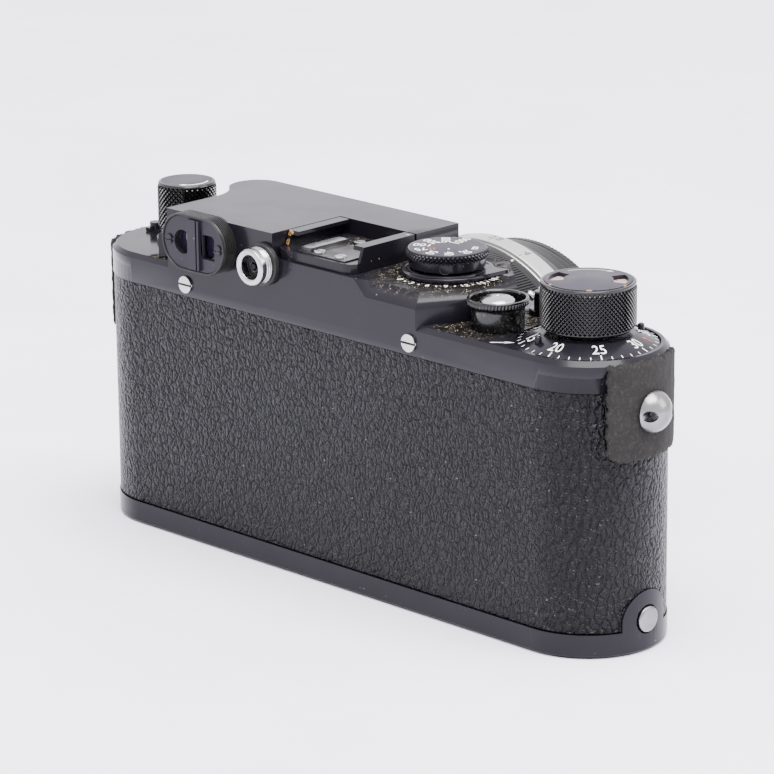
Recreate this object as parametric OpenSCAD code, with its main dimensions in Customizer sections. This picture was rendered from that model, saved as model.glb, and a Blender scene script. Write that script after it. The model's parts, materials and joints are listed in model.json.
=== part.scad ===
// Screw-mount rangefinder camera of the 1950s, as an assembly of separate pieces.
// +Z is up, the lens looks along -Y and the origin is the middle of the base's resting face.

/* [Body] */
// Length over the rounded ends
body_len = 136; // [130:0.5:142]
// Front-to-back depth over the covering
body_dep = 29.2; // [28:0.1:31]
// Height of the base plate's rim
base_h = 4.6; // [4.2:0.1:5]
// Height of the seam between the covering and the top cover
seam_z = 50; // [49.5:0.1:50.5]

/* [Top cover] */
// Height of the low decks at both ends
deck_z = 55.8; // [55.4:0.1:56.2]
// Height of the middle deck that carries the shoe and the speed dial
mid_z = 62; // [61.5:0.1:62.2]
// Height of the flat top of the rangefinder housing
top_z = 66.8; // [66.4:0.1:67.5]
// Wall thickness of the pressed top cover
cover_wall = 1; // [0.8:0.1:1.1]
// How far the middle deck reaches past the speed dial, towards the winding end
deck_reach = 10.2; // [10:0.1:10.6]
// Thickness of the shoe's overhanging rails
rail_h = 0.75; // [0.6:0.05:0.9]

/* [Controls] */
// Radius of the winding knob
wind_r = 8.75; // [8.4:0.05:9]
// Radius of the frame counter dial
counter_r = 12.95; // [12.6:0.05:13]
// Radius of the speed dial's rim
speed_r = 7.75; // [7.4:0.05:8]
// Radius of the rewind knob
rewind_r = 5.85; // [5.6:0.05:6]
// Travel of the release button
release_travel = 2.2; // [1.5:0.1:2.4]
// How far the rewind knob pulls up
rewind_lift = 5.5; // [4:0.5:6]
// How far the speed dial lifts before it turns
speed_lift = 1.6; // [1:0.1:2]

/* [Lens] */
// Distance of the lens axis from the middle of the body
lens_x = 1; // [0:0.1:2]
// Height of the lens axis
lens_z = 30.5; // [30:0.1:31]
// Outer radius of the silver aperture ring
aperture_r = 28.9; // [28:0.1:29.4]
// Outer radius of the grooved focusing ring
focus_r = 28.4; // [27.5:0.1:28.8]
// Radius of the screw mount's throat, for a 39 mm thread
throat_r = 19.5; // [19.5:0.1:19.6]
// Inner radius of the filter seat
filter_r = 24; // [23.5:0.1:24.4]
// Distance of the lens's front edge from the body's middle plane
lens_front = 44.1; // [43.6:0.1:45]

/* [Hidden] */
$fn = 72;
small_fn = 32;
body_r = body_dep / 2;
half = body_len / 2 - body_r;
skin = 0.8;
shell_r = body_r - skin;
shell_in = shell_r - 1.3;
cover_r = body_r + 0.15;
base_r = body_r + 0.2;
rim_in = base_r - 0.85;
lip_r = rim_in - 0.45;
// Radius of the release button's stem
release_r = 2.15;
// Working gap between parts that slide or turn on one another
fit = 0.06;
wind_shaft_r = 2.45;
sprocket_hub_r = 3.4;
spindle_r = 1.95;
rewind_shaft_r = 1.94;
slow_shaft_r = 3;
arm_pin_r = 1;
sleeve_r = 3;

// Places of the controls on the top, as [x, y]
wind_at = [-half, 0];
release_at = [-35.8, 4.9];
reverse_at = [-35.6, -7.4];
speed_at = [-18.4, 0];
rewind_at = [53, 0];
// Places of the pieces on the back, as [x, z]
eyepiece_at = [31.8, 62];
sync_at = [15.4, 60.5];
pin_at = [22.4, 59.8];
// Place of the slow-speed dial on the front, as [x, z]
slow_at = [-32, 37.6];
// Shoe recess: its two sides, its front wall and the housing's end
shoe_x0 = -7.2;
shoe_x1 = 13.2;
shoe_y0 = -3.3;
shoe_floor = 63.9;
// Width of the space for an accessory's foot
shoe_gap = 18.6;
housing_end = 42.7;
// Round lobe at the housing's front corner and the hollow beside the rewind knob, as [x, y, radius]
lobe = [42.6, -9.2, 5.55];
hollow = [50.7, 1.66, 8.05];
// Height at which the middle deck's sloped shoulder starts, and the deck's edge at the back
shoulder_z = 58.9;
shoulder = 0.65;
deck_back = 13.3;
// Cut corners of the middle deck: direction and distance from the middle
back_corner = [151.7, 28.4];
front_corner = [228.4, 25];
// Point where the shoulder begins at the back, and the tilt of the small facet there
shoulder_x = -8.4;
facet_tilt = [0, 72.6, 108.2];
// Height of the carrier plate under the top cover
plate_z0 = 50.3;
plate_z1 = 51.5;
gear_z0 = 51.8;
gear_z1 = 53.1;
// Wheels of the film drive: the sprocket's is smaller, to clear the cover
big_teeth = 34;
small_teeth = 26;
wind_wheel_r = norm(wind_at - release_at) * big_teeth / (big_teeth + small_teeth);
sprocket_wheel_r = norm(wind_at - release_at) - wind_wheel_r;
spindle_wheel_r = norm(release_at - speed_at) - sprocket_wheel_r;
// Turns of the two driven wheels that set their teeth in the driver's gaps
sprocket_turn = bearing(release_at, wind_at) + 180 / small_teeth;
spindle_turn = bearing(speed_at, release_at) + 180 / big_teeth
    + (bearing(release_at, speed_at) - sprocket_turn) * small_teeth / big_teeth;
// Height of the strap lugs and the stud that the base hooks on
lug_z = 45.6;
lug_r = 4;
lug_h = 2.9;
stud_z = 6.2;
arm_at = [22, -8.6];
roller_at = [27, 0.6];
tripod_r = 2.6;
tripod_depth = 5.35;
// Recess for the frame counter, the rim of its dial and the top of its cone
counter_floor = 54.7;
counter_rim_z = 55.6;
counter_top_z = 57.4;
counter_pins = [72, 244];
// Stations of the lens pieces, measured forwards from the body's middle plane
focus_back = 21.6;
focus_front = 28.9;
aperture_back = 29.25;
aperture_front = 34;
mount_face = 19.8;
flange_r = 24.2;
screw_spots = [[37.6, 1], [-22.8, 1], [44, -1], [-44, -1]];

// ---- helpers ----

module at(p, z = 0) {
    translate([p[0], p[1], z]) children();
}

// Rounds off the body's plan: a bar with semicircular ends
module plan(r) {
    square([2 * half, 2 * r], center = true);
    for (s = [-1, 1]) translate([s * half, 0]) circle(r);
}

module slab(r, z0, z1) {
    translate([0, 0, z0]) linear_extrude(z1 - z0) plan(r);
}

// Slopes the edge of a plan-shaped slab from radius r0 at z0 to r1 at z1
module bevel_slab(r0, r1, z0, z1) {
    for (s = [-1, 1]) translate([s * half, 0, z0]) cylinder(h = z1 - z0, r1 = r0, r2 = r1);
    translate([-half, 0, 0]) rotate([90, 0, 90]) linear_extrude(2 * half)
        polygon([[-r0, z0], [r0, z0], [r1, z1], [-r1, z1]]);
}

module tube(ro, ri, z0, z1) {
    translate([0, 0, z0]) difference() {
        cylinder(h = z1 - z0, r = ro);
        translate([0, 0, -1]) cylinder(h = z1 - z0 + 2, r = ri);
    }
}

module rod(r, z0, z1) {
    translate([0, 0, z0]) cylinder(h = z1 - z0, r = r);
}

// Turns local +Z to the front, -Y, at a place given as [x, z]
module facing_front(p) {
    translate([p[0], 0, p[1]]) rotate([90, 0, 0]) children();
}

// Turns local +Z to the back, +Y; local X runs along -X
module facing_back(p) {
    translate([p[0], 0, p[1]]) rotate([90, 0, 180]) children();
}

module on_lens() {
    facing_front([lens_x, lens_z]) children();
}

// A box from its low corner to its high corner
module block(a, b) {
    translate(a) cube(b - a);
}

// An oblong with semicircular ends, w long and h high
module oblong(w, h) {
    square([w - h, h], center = true);
    for (s = [-1, 1]) translate([s * (w - h) / 2, 0]) circle(h / 2);
}

module slotted_head(r, z0, z1) {
    difference() {
        rod(r, z0, z1);
        translate([-r - 1, -0.2, z1 - 0.35]) cube([2 * r + 2, 0.4, 1]);
    }
}

// Spur wheel outline: straight-sided teeth with room between them
module gear_plan(pitch_r, teeth, turn) {
    step = 360 / teeth;
    root = pitch_r - 0.55;
    tip = pitch_r + 0.35;
    polygon([for (i = [0 : teeth - 1], k = [[root, -0.29], [tip, -0.12], [tip, 0.12], [root, 0.29]])
        let (a = turn + (i + k[1]) * step) [k[0] * cos(a), k[0] * sin(a)]]);
}

module gear(pitch_r, teeth, turn) {
    translate([0, 0, gear_z0]) linear_extrude(gear_z1 - gear_z0)
        gear_plan(pitch_r, teeth, turn);
}

// Turn that points a tooth, or a gap, from one shaft to the next
function bearing(a, b) = atan2(b[1] - a[1], b[0] - a[0]);

// ---- casing ----

module body_shell() {
    color("#3a3a3c") {
        difference() {
            union() {
                slab(shell_r, base_h + 0.3, seam_z);
                slab(lip_r, 1.3, base_h + 0.35);
            }
            slab(shell_in, 1.2, seam_z + 1);
            facing_front([lens_x, lens_z]) rod(throat_r + 0.8, 11, 16);
            facing_front(slow_at) rod(slow_shaft_r + fit, 11, 16);
            for (s = [-1, 1]) translate([s * 60, 0, lug_z]) rotate([0, 90 * s, 0]) rod(1.55, 0, 10);
            translate([-60, 0, stud_z]) rotate([0, -90, 0]) rod(1.55, 0, 10);
        }
        // Catch that the lock key's tongue turns over
        intersection() {
            difference() {
                translate([half, 0, 2.3]) cylinder(h = 1, r = shell_in + 0.4);
                translate([half, 0, 2]) cylinder(h = 2, r = 11.2);
            }
            block([half + 5, -5, 0], [70, 5, 5]);
        }
    }
}

module covering() {
    color("#2b2a2c") difference() {
        slab(body_r, base_h + 0.3, seam_z - 0.15);
        slab(shell_r + 0.02, 0, 60);
        on_lens() rod(flange_r + 0.15, 12, 17);
        facing_front(slow_at) rod(8.9, 12, 17);
        for (s = [-1, 1]) translate([s * 60, 0, lug_z]) rotate([0, 90 * s, 0]) rod(1.55, 0, 10);
        // Room for the base's ear
        ear(9, fit + 0.1);
    }
}

// Round-topped prism of the ear that hooks over the stud, from x = -80 inwards, grown by w
module ear(len, w) {
    translate([-80, 0, stud_z]) rotate([0, 90, 0]) linear_extrude(14 + len) union() {
        circle(5.6 + w);
        translate([0, -5.6 - w]) square([6, 11.2 + 2 * w]);
    }
}

module base_plate() {
    color("#38383b") difference() {
        union() {
            bevel_slab(base_r - 0.6, base_r, 0, 0.6);
            slab(base_r, 0.6, base_h);
            // Round cup that hides the lock key
            at(rewind_at) rod(10.9, 0, 3);
            intersection() {
                translate([-half, 0, 0]) tube(base_r, shell_r + 0.1, base_h - 1, 14);
                ear(6, 0);
            }
        }
        difference() {
            slab(rim_in, 1, base_h + 1);
            at(rewind_at) rod(10.9, 0, 3);
        }
        at(rewind_at) rod(10, -1, 2.1);
        at(rewind_at) rod(2.5 + fit, 0, 5);
        at(wind_at) rod(6.02, -1, 3);
        translate([-80, 0, stud_z]) rotate([0, 90, 0]) cylinder(h = 20, r = 2.75);
    }
}

module base_stud() {
    color("silver") translate([-half, 0, stud_z]) rotate([0, -90, 0]) {
        rod(1.5, shell_in + 0.3, body_r - 0.3);
        rod(2.45, body_r - 0.35, body_r + 0.5);
        translate([0, 0, body_r + 0.5]) cylinder(h = 0.25, r1 = 2.45, r2 = 2);
    }
}

module tripod_bush() {
    color("goldenrod") at(wind_at) difference() {
        union() {
            rod(6, 0.05, 6.2);
            rod(8, 1, 2);
        }
        rod(tripod_r, -1, tripod_depth);
    }
}

module lock_key() {
    color("silver") at(rewind_at) {
        difference() {
            union() {
                rod(9.7, 1.15, 2);
                for (s = [-1, 1]) translate([s * 5.6 - 0.6, -0.9, 0.12]) cube([1.2, 1.8, 1.1]);
                rod(2.5, 1.9, 4.9);
            }
            translate([0, 0, 0.62]) rotate([0, 90, 0]) cylinder(h = 14, r = 0.4, center = true,
                $fn = small_fn);
        }
        translate([-12.1, -1.6, 3.6]) cube([12.1, 3.2, 0.9]);
    }
}

module key_bow() {
    color("gainsboro") at(rewind_at) {
        intersection() {
            tube(8.3, 6.5, 0.22, 1.02);
            block([-9, 0, 0], [9, 9, 2]);
        }
        translate([0, 0, 0.62]) for (s = [-1, 1]) rotate([0, 90 * s, 0])
            rod(0.35, 4.9, 6.9, $fn = small_fn);
    }
}

// ---- top cover ----

module housing_plan(w) {
    difference() {
        union() {
            translate([shoe_x0 + w, -cover_r + w])
                square([housing_end - shoe_x0 - 2 * w, 2 * (cover_r - w)]);
            translate([lobe[0], lobe[1]]) circle(lobe[2] - w);
            polygon([[lobe[0] - 1, lobe[1]], [lobe[0], lobe[1]], [hollow[0], hollow[1]],
                [lobe[0] - 1, hollow[1]]]);
        }
        translate([hollow[0], hollow[1]]) circle(hollow[2] + w);
        translate([shoe_x0 - 1, shoe_y0 - w]) square([shoe_x1 - shoe_x0 + 1 + w, 30]);
    }
}

// An upright wall that faces the way of turn, with a shoulder that slopes in from height start
module shouldered(turn, reach, slope, start, w) {
    rotate([0, 0, turn]) translate([0, 40, 0]) rotate([90, 0, 0]) linear_extrude(80)
        polygon([[-60, 53], [reach - w, 53], [reach - w, start - w],
            [reach - slope - w, mid_z - w], [-60, mid_z - w]]);
}

// Middle deck under the speed dial, with shoulders that slope out to the cover's walls
module dial_deck(w) {
    side = deck_reach - speed_at[0] + shoulder;
    intersection() {
        shouldered(90, cover_r, cover_r - deck_back, shoulder_z, w);
        shouldered(-90, cover_r, cover_r - deck_back, shoulder_z, w);
        shouldered(180, side, shoulder, shoulder_z, w);
        shouldered(back_corner[0], back_corner[1], shoulder, shoulder_z - 0.15, w);
        shouldered(front_corner[0], front_corner[1], shoulder, shoulder_z - 0.15, w);
        block([-40, -20, 50], [0, 20, 70]);
    }
}

// Middle deck under the shoe, whose ends slope off in a small facet at the back and the front
module shoe_deck(w) {
    difference() {
        block([shoulder_x - 5 + w, -cover_r + w, 53], [housing_end - w, cover_r - w, mid_z - w]);
        for (k = [0, 1]) mirror([0, k, 0]) translate([shoulder_x + w, cover_r - w, mid_z - w])
            rotate(facet_tilt) translate([-20, -20, 0]) cube([40, 40, 20]);
    }
}

// The cover's body, drawn in by w on every side for the hollow inside
module cover_form(w) {
    slab(cover_r - w, seam_z - w, deck_z - 0.9 - w);
    bevel_slab(cover_r - w, cover_r - w - 0.9, deck_z - 0.9 - w, deck_z - w);
    dial_deck(w);
    shoe_deck(w);
    translate([0, 0, 53]) linear_extrude(top_z - 53 - w) housing_plan(w);
}

module cover_holes() {
    at(wind_at) rod(counter_r + 0.2, counter_floor, 60);
    at(wind_at) rod(3.1, 50, 60);
    at(release_at) rod(release_r + fit, 50, 58);
    at(reverse_at) rod(1.3, 50, 60);
    at(speed_at) rod(sleeve_r + fit, 50, 70);
    at(rewind_at) rod(rewind_shaft_r + fit, 50, 70);
    // Openings behind the eyepiece, for the flash socket and the small pin
    facing_back([eyepiece_at[0] + 3, eyepiece_at[1]]) rod(2.9, 12, 17);
    facing_back([eyepiece_at[0] - 4, eyepiece_at[1]]) rod(2.6, 12, 17);
    facing_back(sync_at) rod(2.65, 12, 17);
    facing_back(pin_at) rod(0.62, 12, 17, $fn = small_fn);
    // Windows in the housing's front
    facing_front([-2.2, 61]) rod(2.5, 12, 17);
    facing_front([36.4, 61]) rod(2.5, 12, 17);
    block([17.6, -17, 57.6], [27.6, -12, 64.4]);
    for (p = screw_spots) translate([p[0], p[1] * 12, 52.4]) rotate([-90 * p[1], 0, 0])
        rod(0.85, 0, 5, $fn = small_fn);
    // Notch for the lens flange
    on_lens() rod(flange_r + 0.1, 12, 17);
}

module top_cover() {
    color("#343437") difference() {
        cover_form(0);
        difference() {
            cover_form(cover_wall);
            // The counter's recess keeps a floor under it
            at(wind_at) rod(counter_r + 1.2, counter_floor - cover_wall, 60);
        }
        cover_holes();
    }
}

module cover_screws() {
    color("gainsboro") for (p = screw_spots)
        translate([p[0], p[1] * cover_r, 52.4]) rotate([-90 * p[1], 0, 0]) {
            slotted_head(1.7, 0.02, 0.5, $fn = small_fn);
            rod(0.8, -2.2, 0.1, $fn = small_fn);
        }
}

module carrier_plate() {
    color("darkgray") difference() {
        slab(shell_r - 0.3, plate_z0, plate_z1);
        at(wind_at) rod(wind_shaft_r + fit, 40, 60);
        at(release_at) rod(sprocket_hub_r + fit, 40, 60);
        at(speed_at) rod(spindle_r + fit, 40, 60);
        at(rewind_at) rod(rewind_shaft_r + fit, 40, 60);
        at(arm_at) rod(arm_pin_r + fit, 40, 60);
        on_lens() rod(throat_r + 0.9, 11, 15);
    }
}

// ---- accessory shoe ----

// Upright side wall and overhanging lip of the shoe, with a sloped rear end; k mirrors it
module shoe_rail(x, k) {
    wall = (shoe_x1 - shoe_x0 - 0.4 - shoe_gap) / 2;
    translate([x, 0, 0]) mirror([k, 0, 0]) intersection() {
        union() {
            block([0, shoe_y0 + 0.3, shoe_floor - 1], [wall, 13, top_z]);
            block([0, shoe_y0 + 0.3, top_z - 0.05 - rail_h], [2.6, 13, top_z]);
        }
        rotate([90, 0, 90]) linear_extrude(3)
            polygon([[shoe_y0, 62], [12.3, 62], [10.4, top_z - 0.05], [shoe_y0, top_z - 0.05]]);
    }
}

module accessory_shoe() {
    color("#2f2f31") difference() {
        union() {
            translate([0, 0, mid_z + 0.02]) linear_extrude(shoe_floor - mid_z - 0.02) polygon([
                [shoe_x0 + 0.2, shoe_y0 + 0.3], [shoe_x1 - 0.2, shoe_y0 + 0.3],
                [shoe_x1 - 0.2, 12.9], [shoe_x1 - 1.4, 13.9], [shoe_x0 + 2.6, 13.9],
                [shoe_x0 + 0.9, 13.3], [shoe_x0 + 0.2, 12.2]]);
            shoe_rail(shoe_x0 + 0.2, 0);
            shoe_rail(shoe_x1 - 0.2, 1);
        }
        for (x = [-2, 3.6], y = [1, 11.6]) translate([x, y, 0]) rod(0.65, 60, 70, $fn = small_fn);
    }
}

module shoe_spring() {
    color("silver") difference() {
        union() {
            block([-4.4, 3.6, shoe_floor + 0.03], [8, 13, 64.15]);
            block([4.9, 2.8, 64.1], [7.5, 12.6, 64.9]);
        }
        for (x = [-2, 3.6]) translate([x, 11.6, 0]) rod(0.65, 60, 70, $fn = small_fn);
    }
}

module shoe_screws() {
    color("gainsboro") for (x = [-2, 3.6], y = [1, 11.6]) translate([x, y, 0]) {
        lift = y > 5 ? 64.17 : 63.92;
        rod(0.6, mid_z + 0.1, lift + 0.05, $fn = small_fn);
        slotted_head(1.1, lift, lift + 0.4, $fn = small_fn);
    }
}

// ---- eyepiece and flash socket ----

module eyepiece_screw_spots() {
    for (x = [-6.8, 7]) translate([x, 0, 0]) children();
}

module eyepiece_block() {
    color("#1f1f20") facing_back(eyepiece_at) difference() {
        union() {
            translate([0, 0, cover_r + 0.02]) linear_extrude(1.6) oblong(17.6, 11.4);
            translate([0, 0, cover_r + 1.6]) linear_extrude(1.8) oblong(17.4, 11.2);
        }
        // Recess for the face plate
        translate([0, 0, cover_r + 2.5]) linear_extrude(3) oblong(16.5, 10.3);
        translate([0, 0, 10]) linear_extrude(10) oblong(11.4, 5);
        eyepiece_screw_spots() rod(0.65, cover_r + 0.6, 20, $fn = small_fn);
    }
}

module eyepiece_plate() {
    color("#3b3b3e") facing_back(eyepiece_at) difference() {
        union() {
            translate([0, 0, cover_r + 2.52]) linear_extrude(0.65) oblong(16.36, 10.16);
            translate([-1.1, -4.9, cover_r + 3.1]) cube([3.2, 9.8, 0.65]);
        }
        // D-shaped rangefinder window
        intersection() {
            translate([-3, 0, 10]) cylinder(h = 12, r = 2.35);
            translate([-6, -4, 10]) cube([4.8, 8, 12]);
        }
        // Upright finder window
        translate([2.7, -2.4, 10]) cube([3.2, 4.8, 12]);
        // Groove beside the bar
        translate([1.2, -5.2, cover_r + 3.45]) cube([0.35, 10.4, 2]);
        eyepiece_screw_spots() rod(0.7, 10, 22, $fn = small_fn);
    }
}

module eyepiece_screws() {
    color("#2c2c2e") facing_back(eyepiece_at) eyepiece_screw_spots() {
        rod(0.62, cover_r + 1.4, cover_r + 3.3, $fn = small_fn);
        slotted_head(1, cover_r + 3.19, cover_r + 3.5, $fn = small_fn);
    }
}

module eyepiece_lenses() {
    color("lightblue", 0.4) facing_back(eyepiece_at) {
        for (x = [-3.3, 3.3]) translate([x, 0, 0]) rod(2.35, cover_r + 0.6, cover_r + 1.6);
    }
}

module sync_insulator() {
    color("#1a1a1a") facing_back(sync_at) {
        tube(4.15, 2.7, cover_r + 0.02, cover_r + 1.2);
        rod(1.1, cover_r + 0.6, cover_r + 2.2);
        rod(0.55, cover_r + 2.1, cover_r + 3, $fn = small_fn);
    }
}

module sync_socket() {
    color("gainsboro") facing_back(sync_at) {
        tube(2.6, 1.15, 12.1, cover_r + 1.25);
        tube(3.55, 2.35, cover_r + 1.22, cover_r + 4.1);
        tube(2.6, 1.15, cover_r + 1.2, cover_r + 1.4);
    }
}

module cover_pin() {
    color("gainsboro") facing_back(pin_at) {
        rod(0.6, 12.5, cover_r + 0.1, $fn = small_fn);
        rod(0.75, cover_r + 0.02, cover_r + 0.25, $fn = small_fn);
    }
}

// ---- strap lugs and leather ----

// Domed boss with an eye bored through it, front to back
module one_lug(s) {
    seat = body_r + 1.35;
    dome_r = (pow(lug_r, 2) + pow(lug_h, 2)) / (2 * lug_h);
    translate([s * half, 0, lug_z]) rotate([0, 90 * s, 0]) {
        rod(1.5, shell_in + 0.3, seat + 0.5);
        difference() {
            intersection() {
                translate([0, 0, seat + lug_h - dome_r]) sphere(dome_r);
                rod(lug_r + 0.2, seat, seat + 5);
            }
            translate([0, 0, seat + 1.45]) rotate([90, 0, 0])
                cylinder(h = 12, r = 1.05, center = true);
        }
    }
}

module strap_lugs() {
    color("silver") {
        one_lug(-1);
        one_lug(1);
    }
}

// Leather guard bent round one end, with rounded lower corners
module lug_patch(s) {
    color("#5f5a50") intersection() {
        translate([s * half, 0, 0]) tube(body_r + 1.3, body_r + 0.3, 36, 56);
        translate([s * 58, 0, 0]) rotate([90, 0, 90]) linear_extrude(28, center = true) difference() {
            union() {
                translate([-9.3, 39.2]) square([18.6, 16.4]);
                translate([-6.8, 36.7]) square([13.6, 3]);
                for (y = [-6.8, 6.8]) translate([y, 39.2]) circle(2.5);
            }
            translate([0, lug_z]) circle(1.7);
        }
    }
}

module lug_patch_wind_end() {
    lug_patch(-1);
}

module lug_patch_rewind_end() {
    lug_patch(1);
}

// ---- winding side ----

module wind_knob() {
    color("#1c1c1e") at(wind_at) difference() {
        union() {
            rod(5.6, counter_top_z + 0.3, 58.3);
            translate([0, 0, 58.2]) cylinder(h = 0.4, r1 = wind_r - 0.4, r2 = wind_r);
            rod(wind_r, 58.6, 66.7);
            translate([0, 0, 66.7]) cylinder(h = 0.35, r1 = wind_r, r2 = wind_r - 0.35);
        }
        rod(8, 65.7, 70);
        rod(wind_shaft_r, 50, 70);
    }
}

module wind_knob_cap() {
    color("#3a3a3d") at(wind_at) difference() {
        union() {
            rod(7.97, 66.55, 67.15);
            rod(1.6, 64.5, 66.6);
        }
        // The two windows over the reminder disc
        for (a = [25, 222]) rotate([0, 0, a]) intersection() {
            tube(7.2, 4.5, 60, 70);
            translate([0, -2.6, 60]) cube([9, 5.2, 10]);
        }
    }
}

module film_speed_disc() {
    color("#d8cfc4") at(wind_at) tube(7.8, 2.6, 65.85, 66.35);
}

module wind_shaft() {
    color("silver") at(wind_at) {
        rod(wind_shaft_r, 48.9, 64.5);
        gear(wind_wheel_r, big_teeth, bearing(wind_at, release_at));
    }
}

module counter_dial() {
    color("#303033") at(wind_at) difference() {
        union() {
            rod(counter_r, counter_floor + 0.15, counter_rim_z);
            // Cone that carries the frame numbers
            translate([0, 0, counter_rim_z])
                cylinder(h = counter_top_z - counter_rim_z, r1 = counter_r, r2 = 8.6);
        }
        rod(wind_shaft_r + 0.3, 50, 60);
        counter_pin_spots() rod(0.67, 50, 60, $fn = small_fn);
    }
}

// The two small pins by which the frame counter is set
module counter_pin_spots() {
    for (a = counter_pins) rotate([0, 0, a]) translate([10.3, 0, 0]) children();
}

module counter_posts() {
    color("#232325") at(wind_at) counter_pin_spots() rod(0.65, 55, 58, $fn = small_fn);
}

module release_button() {
    color("gainsboro") at(release_at) difference() {
        union() {
            rod(release_r, 52.4, 59.7);
            rod(3.35, 59.6, 60.9);
            translate([0, 0, 60.9]) cylinder(h = 0.6, r1 = 3.35, r2 = 2.7);
            translate([0, 0, 61.5]) cylinder(h = 0.25, r1 = 2.7, r2 = 1.2);
        }
        rod(0.4, 58, 63, $fn = small_fn);
    }
}

module release_guard() {
    color("#232325") at(release_at) difference() {
        union() {
            rod(4.9, deck_z + 0.02, 60);
            translate([0, 0, 59]) cylinder(h = 0.5, r1 = 4.9, r2 = 5.75);
            rod(5.75, 59.5, 61.3);
            translate([0, 0, 61.3]) cylinder(h = 0.3, r1 = 5.75, r2 = 5.45);
        }
        rod(3.6, 50, 59.6);
        rod(4.95, 59.5, 62);
    }
}

module release_spring() {
    wire_r = 0.28;
    coil_pitch = 1.06;
    color("silver") at(release_at) for (i = [0 : 3])
        translate([0, 0, deck_z + 0.04 + wire_r + i * coil_pitch]) rotate_extrude($fn = small_fn)
            translate([2.9, 0]) circle(wire_r, $fn = 16);
}

module reversing_lever() {
    color("#222224") at(reverse_at) {
        rod(1.25, plate_z1 + 0.2, 56);
        rod(2.6, deck_z + 0.06, 57);
        translate([-0.9, 1.3, 0]) rod(1.45, 56.9, 60.6);
        translate([0.2, 2, 59.2]) rotate([0, 60, 30]) rod(0.75, 0, 1.6);
    }
}

module speed_dial() {
    color("#2a2a2c") at(speed_at) difference() {
        union() {
            rod(7.15, 63.5, 65.5);
            translate([0, 0, 65.3]) cylinder(h = 0.3, r1 = speed_r - 0.3, r2 = speed_r);
            rod(speed_r, 65.6, 66.65);
            translate([0, 0, 66.65]) cylinder(h = 0.35, r1 = speed_r, r2 = speed_r - 0.4);
        }
        rod(sleeve_r + fit, 60, 65.4);
        // Hole of the set screw that faces the back
        facing_back([0, 64.4]) rod(0.9, 4, 9, $fn = small_fn);
    }
}

module dial_sleeve() {
    color("silver") at(speed_at) tube(sleeve_r, spindle_r + fit, 61.2, 65.1);
}

module sync_ring() {
    color("#29292b") at(speed_at) difference() {
        union() {
            rod(8.8, mid_z + 0.08, 63.1);
            rotate([0, 0, 214]) translate([8, -0.8, mid_z + 0.3]) cube([3.6, 1.6, 0.7]);
        }
        rod(3.4, 60, 70);
    }
}

module shutter_spindle() {
    color("silver") at(speed_at) {
        rod(spindle_r, 9, 64.9);
        rod(3, 12, 47);
        gear(spindle_wheel_r, big_teeth, spindle_turn);
    }
}

module sprocket() {
    color("silver") at(release_at) {
        rod(2.2, 9, 49.9);
        // The gear's bore clears the release button's stem
        difference() {
            union() {
                rod(sprocket_hub_r, 49.8, gear_z0 + 0.1);
                gear(sprocket_wheel_r - 0.02, small_teeth, sprocket_turn);
            }
            rod(release_r + fit, 49.9, 60);
        }
        for (z = [15.6, 44]) rod(6, z, z + 3);
        for (z = [16.6, 45], k = [0 : 7]) rotate([0, 0, k * 45]) translate([5.5, -0.6, z])
            cube([1.3, 1.2, 1]);
    }
}

module take_up_spool() {
    color("#202022") at(wind_at) {
        tube(5, 2.5, 9, 48.6);
        tube(11, 4.9, 9, 10.2);
        tube(11, 4.9, 47.4, 48.6);
    }
}

// ---- rewind side ----

module rewind_knob() {
    color("#1c1c1e") at(rewind_at) difference() {
        union() {
            rod(4.1, 57.4, 58.5);
            translate([0, 0, 58.2]) cylinder(h = 0.4, r1 = rewind_r - 0.3, r2 = rewind_r);
            rod(rewind_r, 58.6, 67.6);
            translate([0, 0, 67.6]) cylinder(h = 0.4, r1 = rewind_r, r2 = rewind_r - 0.4);
        }
        rod(rewind_shaft_r + fit, 50, 66.5);
    }
}

module rewind_shaft() {
    color("silver") at(rewind_at) {
        rod(rewind_shaft_r, 47.9, 66);
        // Fork that turns the cassette's spool
        translate([-0.5, -1.9, 46.2]) cube([1, 3.8, 1.9]);
    }
}

module diopter_lever() {
    color("#4a4a4d") at(rewind_at) {
        tube(6.2, 2.3, deck_z + 0.06, 56.7);
        translate([5.6, -0.9, deck_z + 0.06]) cube([6, 1.8, 0.65]);
        translate([9.6, 0, 0]) rod(1.2, 56.4, 57.9, $fn = small_fn);
        // Arm towards the eyepiece with its upright thumb blade
        rotate([0, 0, 118]) translate([5.6, -0.9, deck_z + 0.06]) cube([8.8, 1.8, 0.65]);
        rotate([0, 0, 118]) translate([13.2, 1, 0]) rotate([90, 0, 0]) linear_extrude(2)
            polygon([[0, 56], [1.1, 56], [1.1, 60.2], [0.5, 60.6]]);
    }
}

// ---- front of the body ----

module lens_flange() {
    color("#b8b8ba") on_lens() difference() {
        union() {
            rod(flange_r, shell_r + 0.05, mount_face);
            rod(throat_r + 0.7, shell_in - 0.6, shell_r + 0.1);
        }
        rod(throat_r, 0, 30);
        for (a = [45 : 90 : 315]) rotate([0, 0, a]) translate([21.9, 0, 0]) {
            rod(0.8, 15, 25, $fn = small_fn);
            rod(1.35, mount_face - 0.7, 25, $fn = small_fn);
        }
    }
}

module flange_screws() {
    color("gainsboro") on_lens() for (a = [45 : 90 : 315]) rotate([0, 0, a])
        translate([21.9, 0, 0]) {
            rod(0.75, 15.2, mount_face - 0.6, $fn = small_fn);
            slotted_head(1.3, mount_face - 0.68, mount_face - 0.02, $fn = small_fn);
        }
}

module slow_speed_dial() {
    color("#2a2a2c") facing_front(slow_at) {
        rod(slow_shaft_r, 9.5, 16);
        rod(8.5, body_r - 0.5, 16);
        rod(7.7, 15.9, 19.6);
        translate([0, 0, 19.5]) cylinder(h = 0.5, r1 = 7.7, r2 = 7.2);
    }
}

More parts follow.
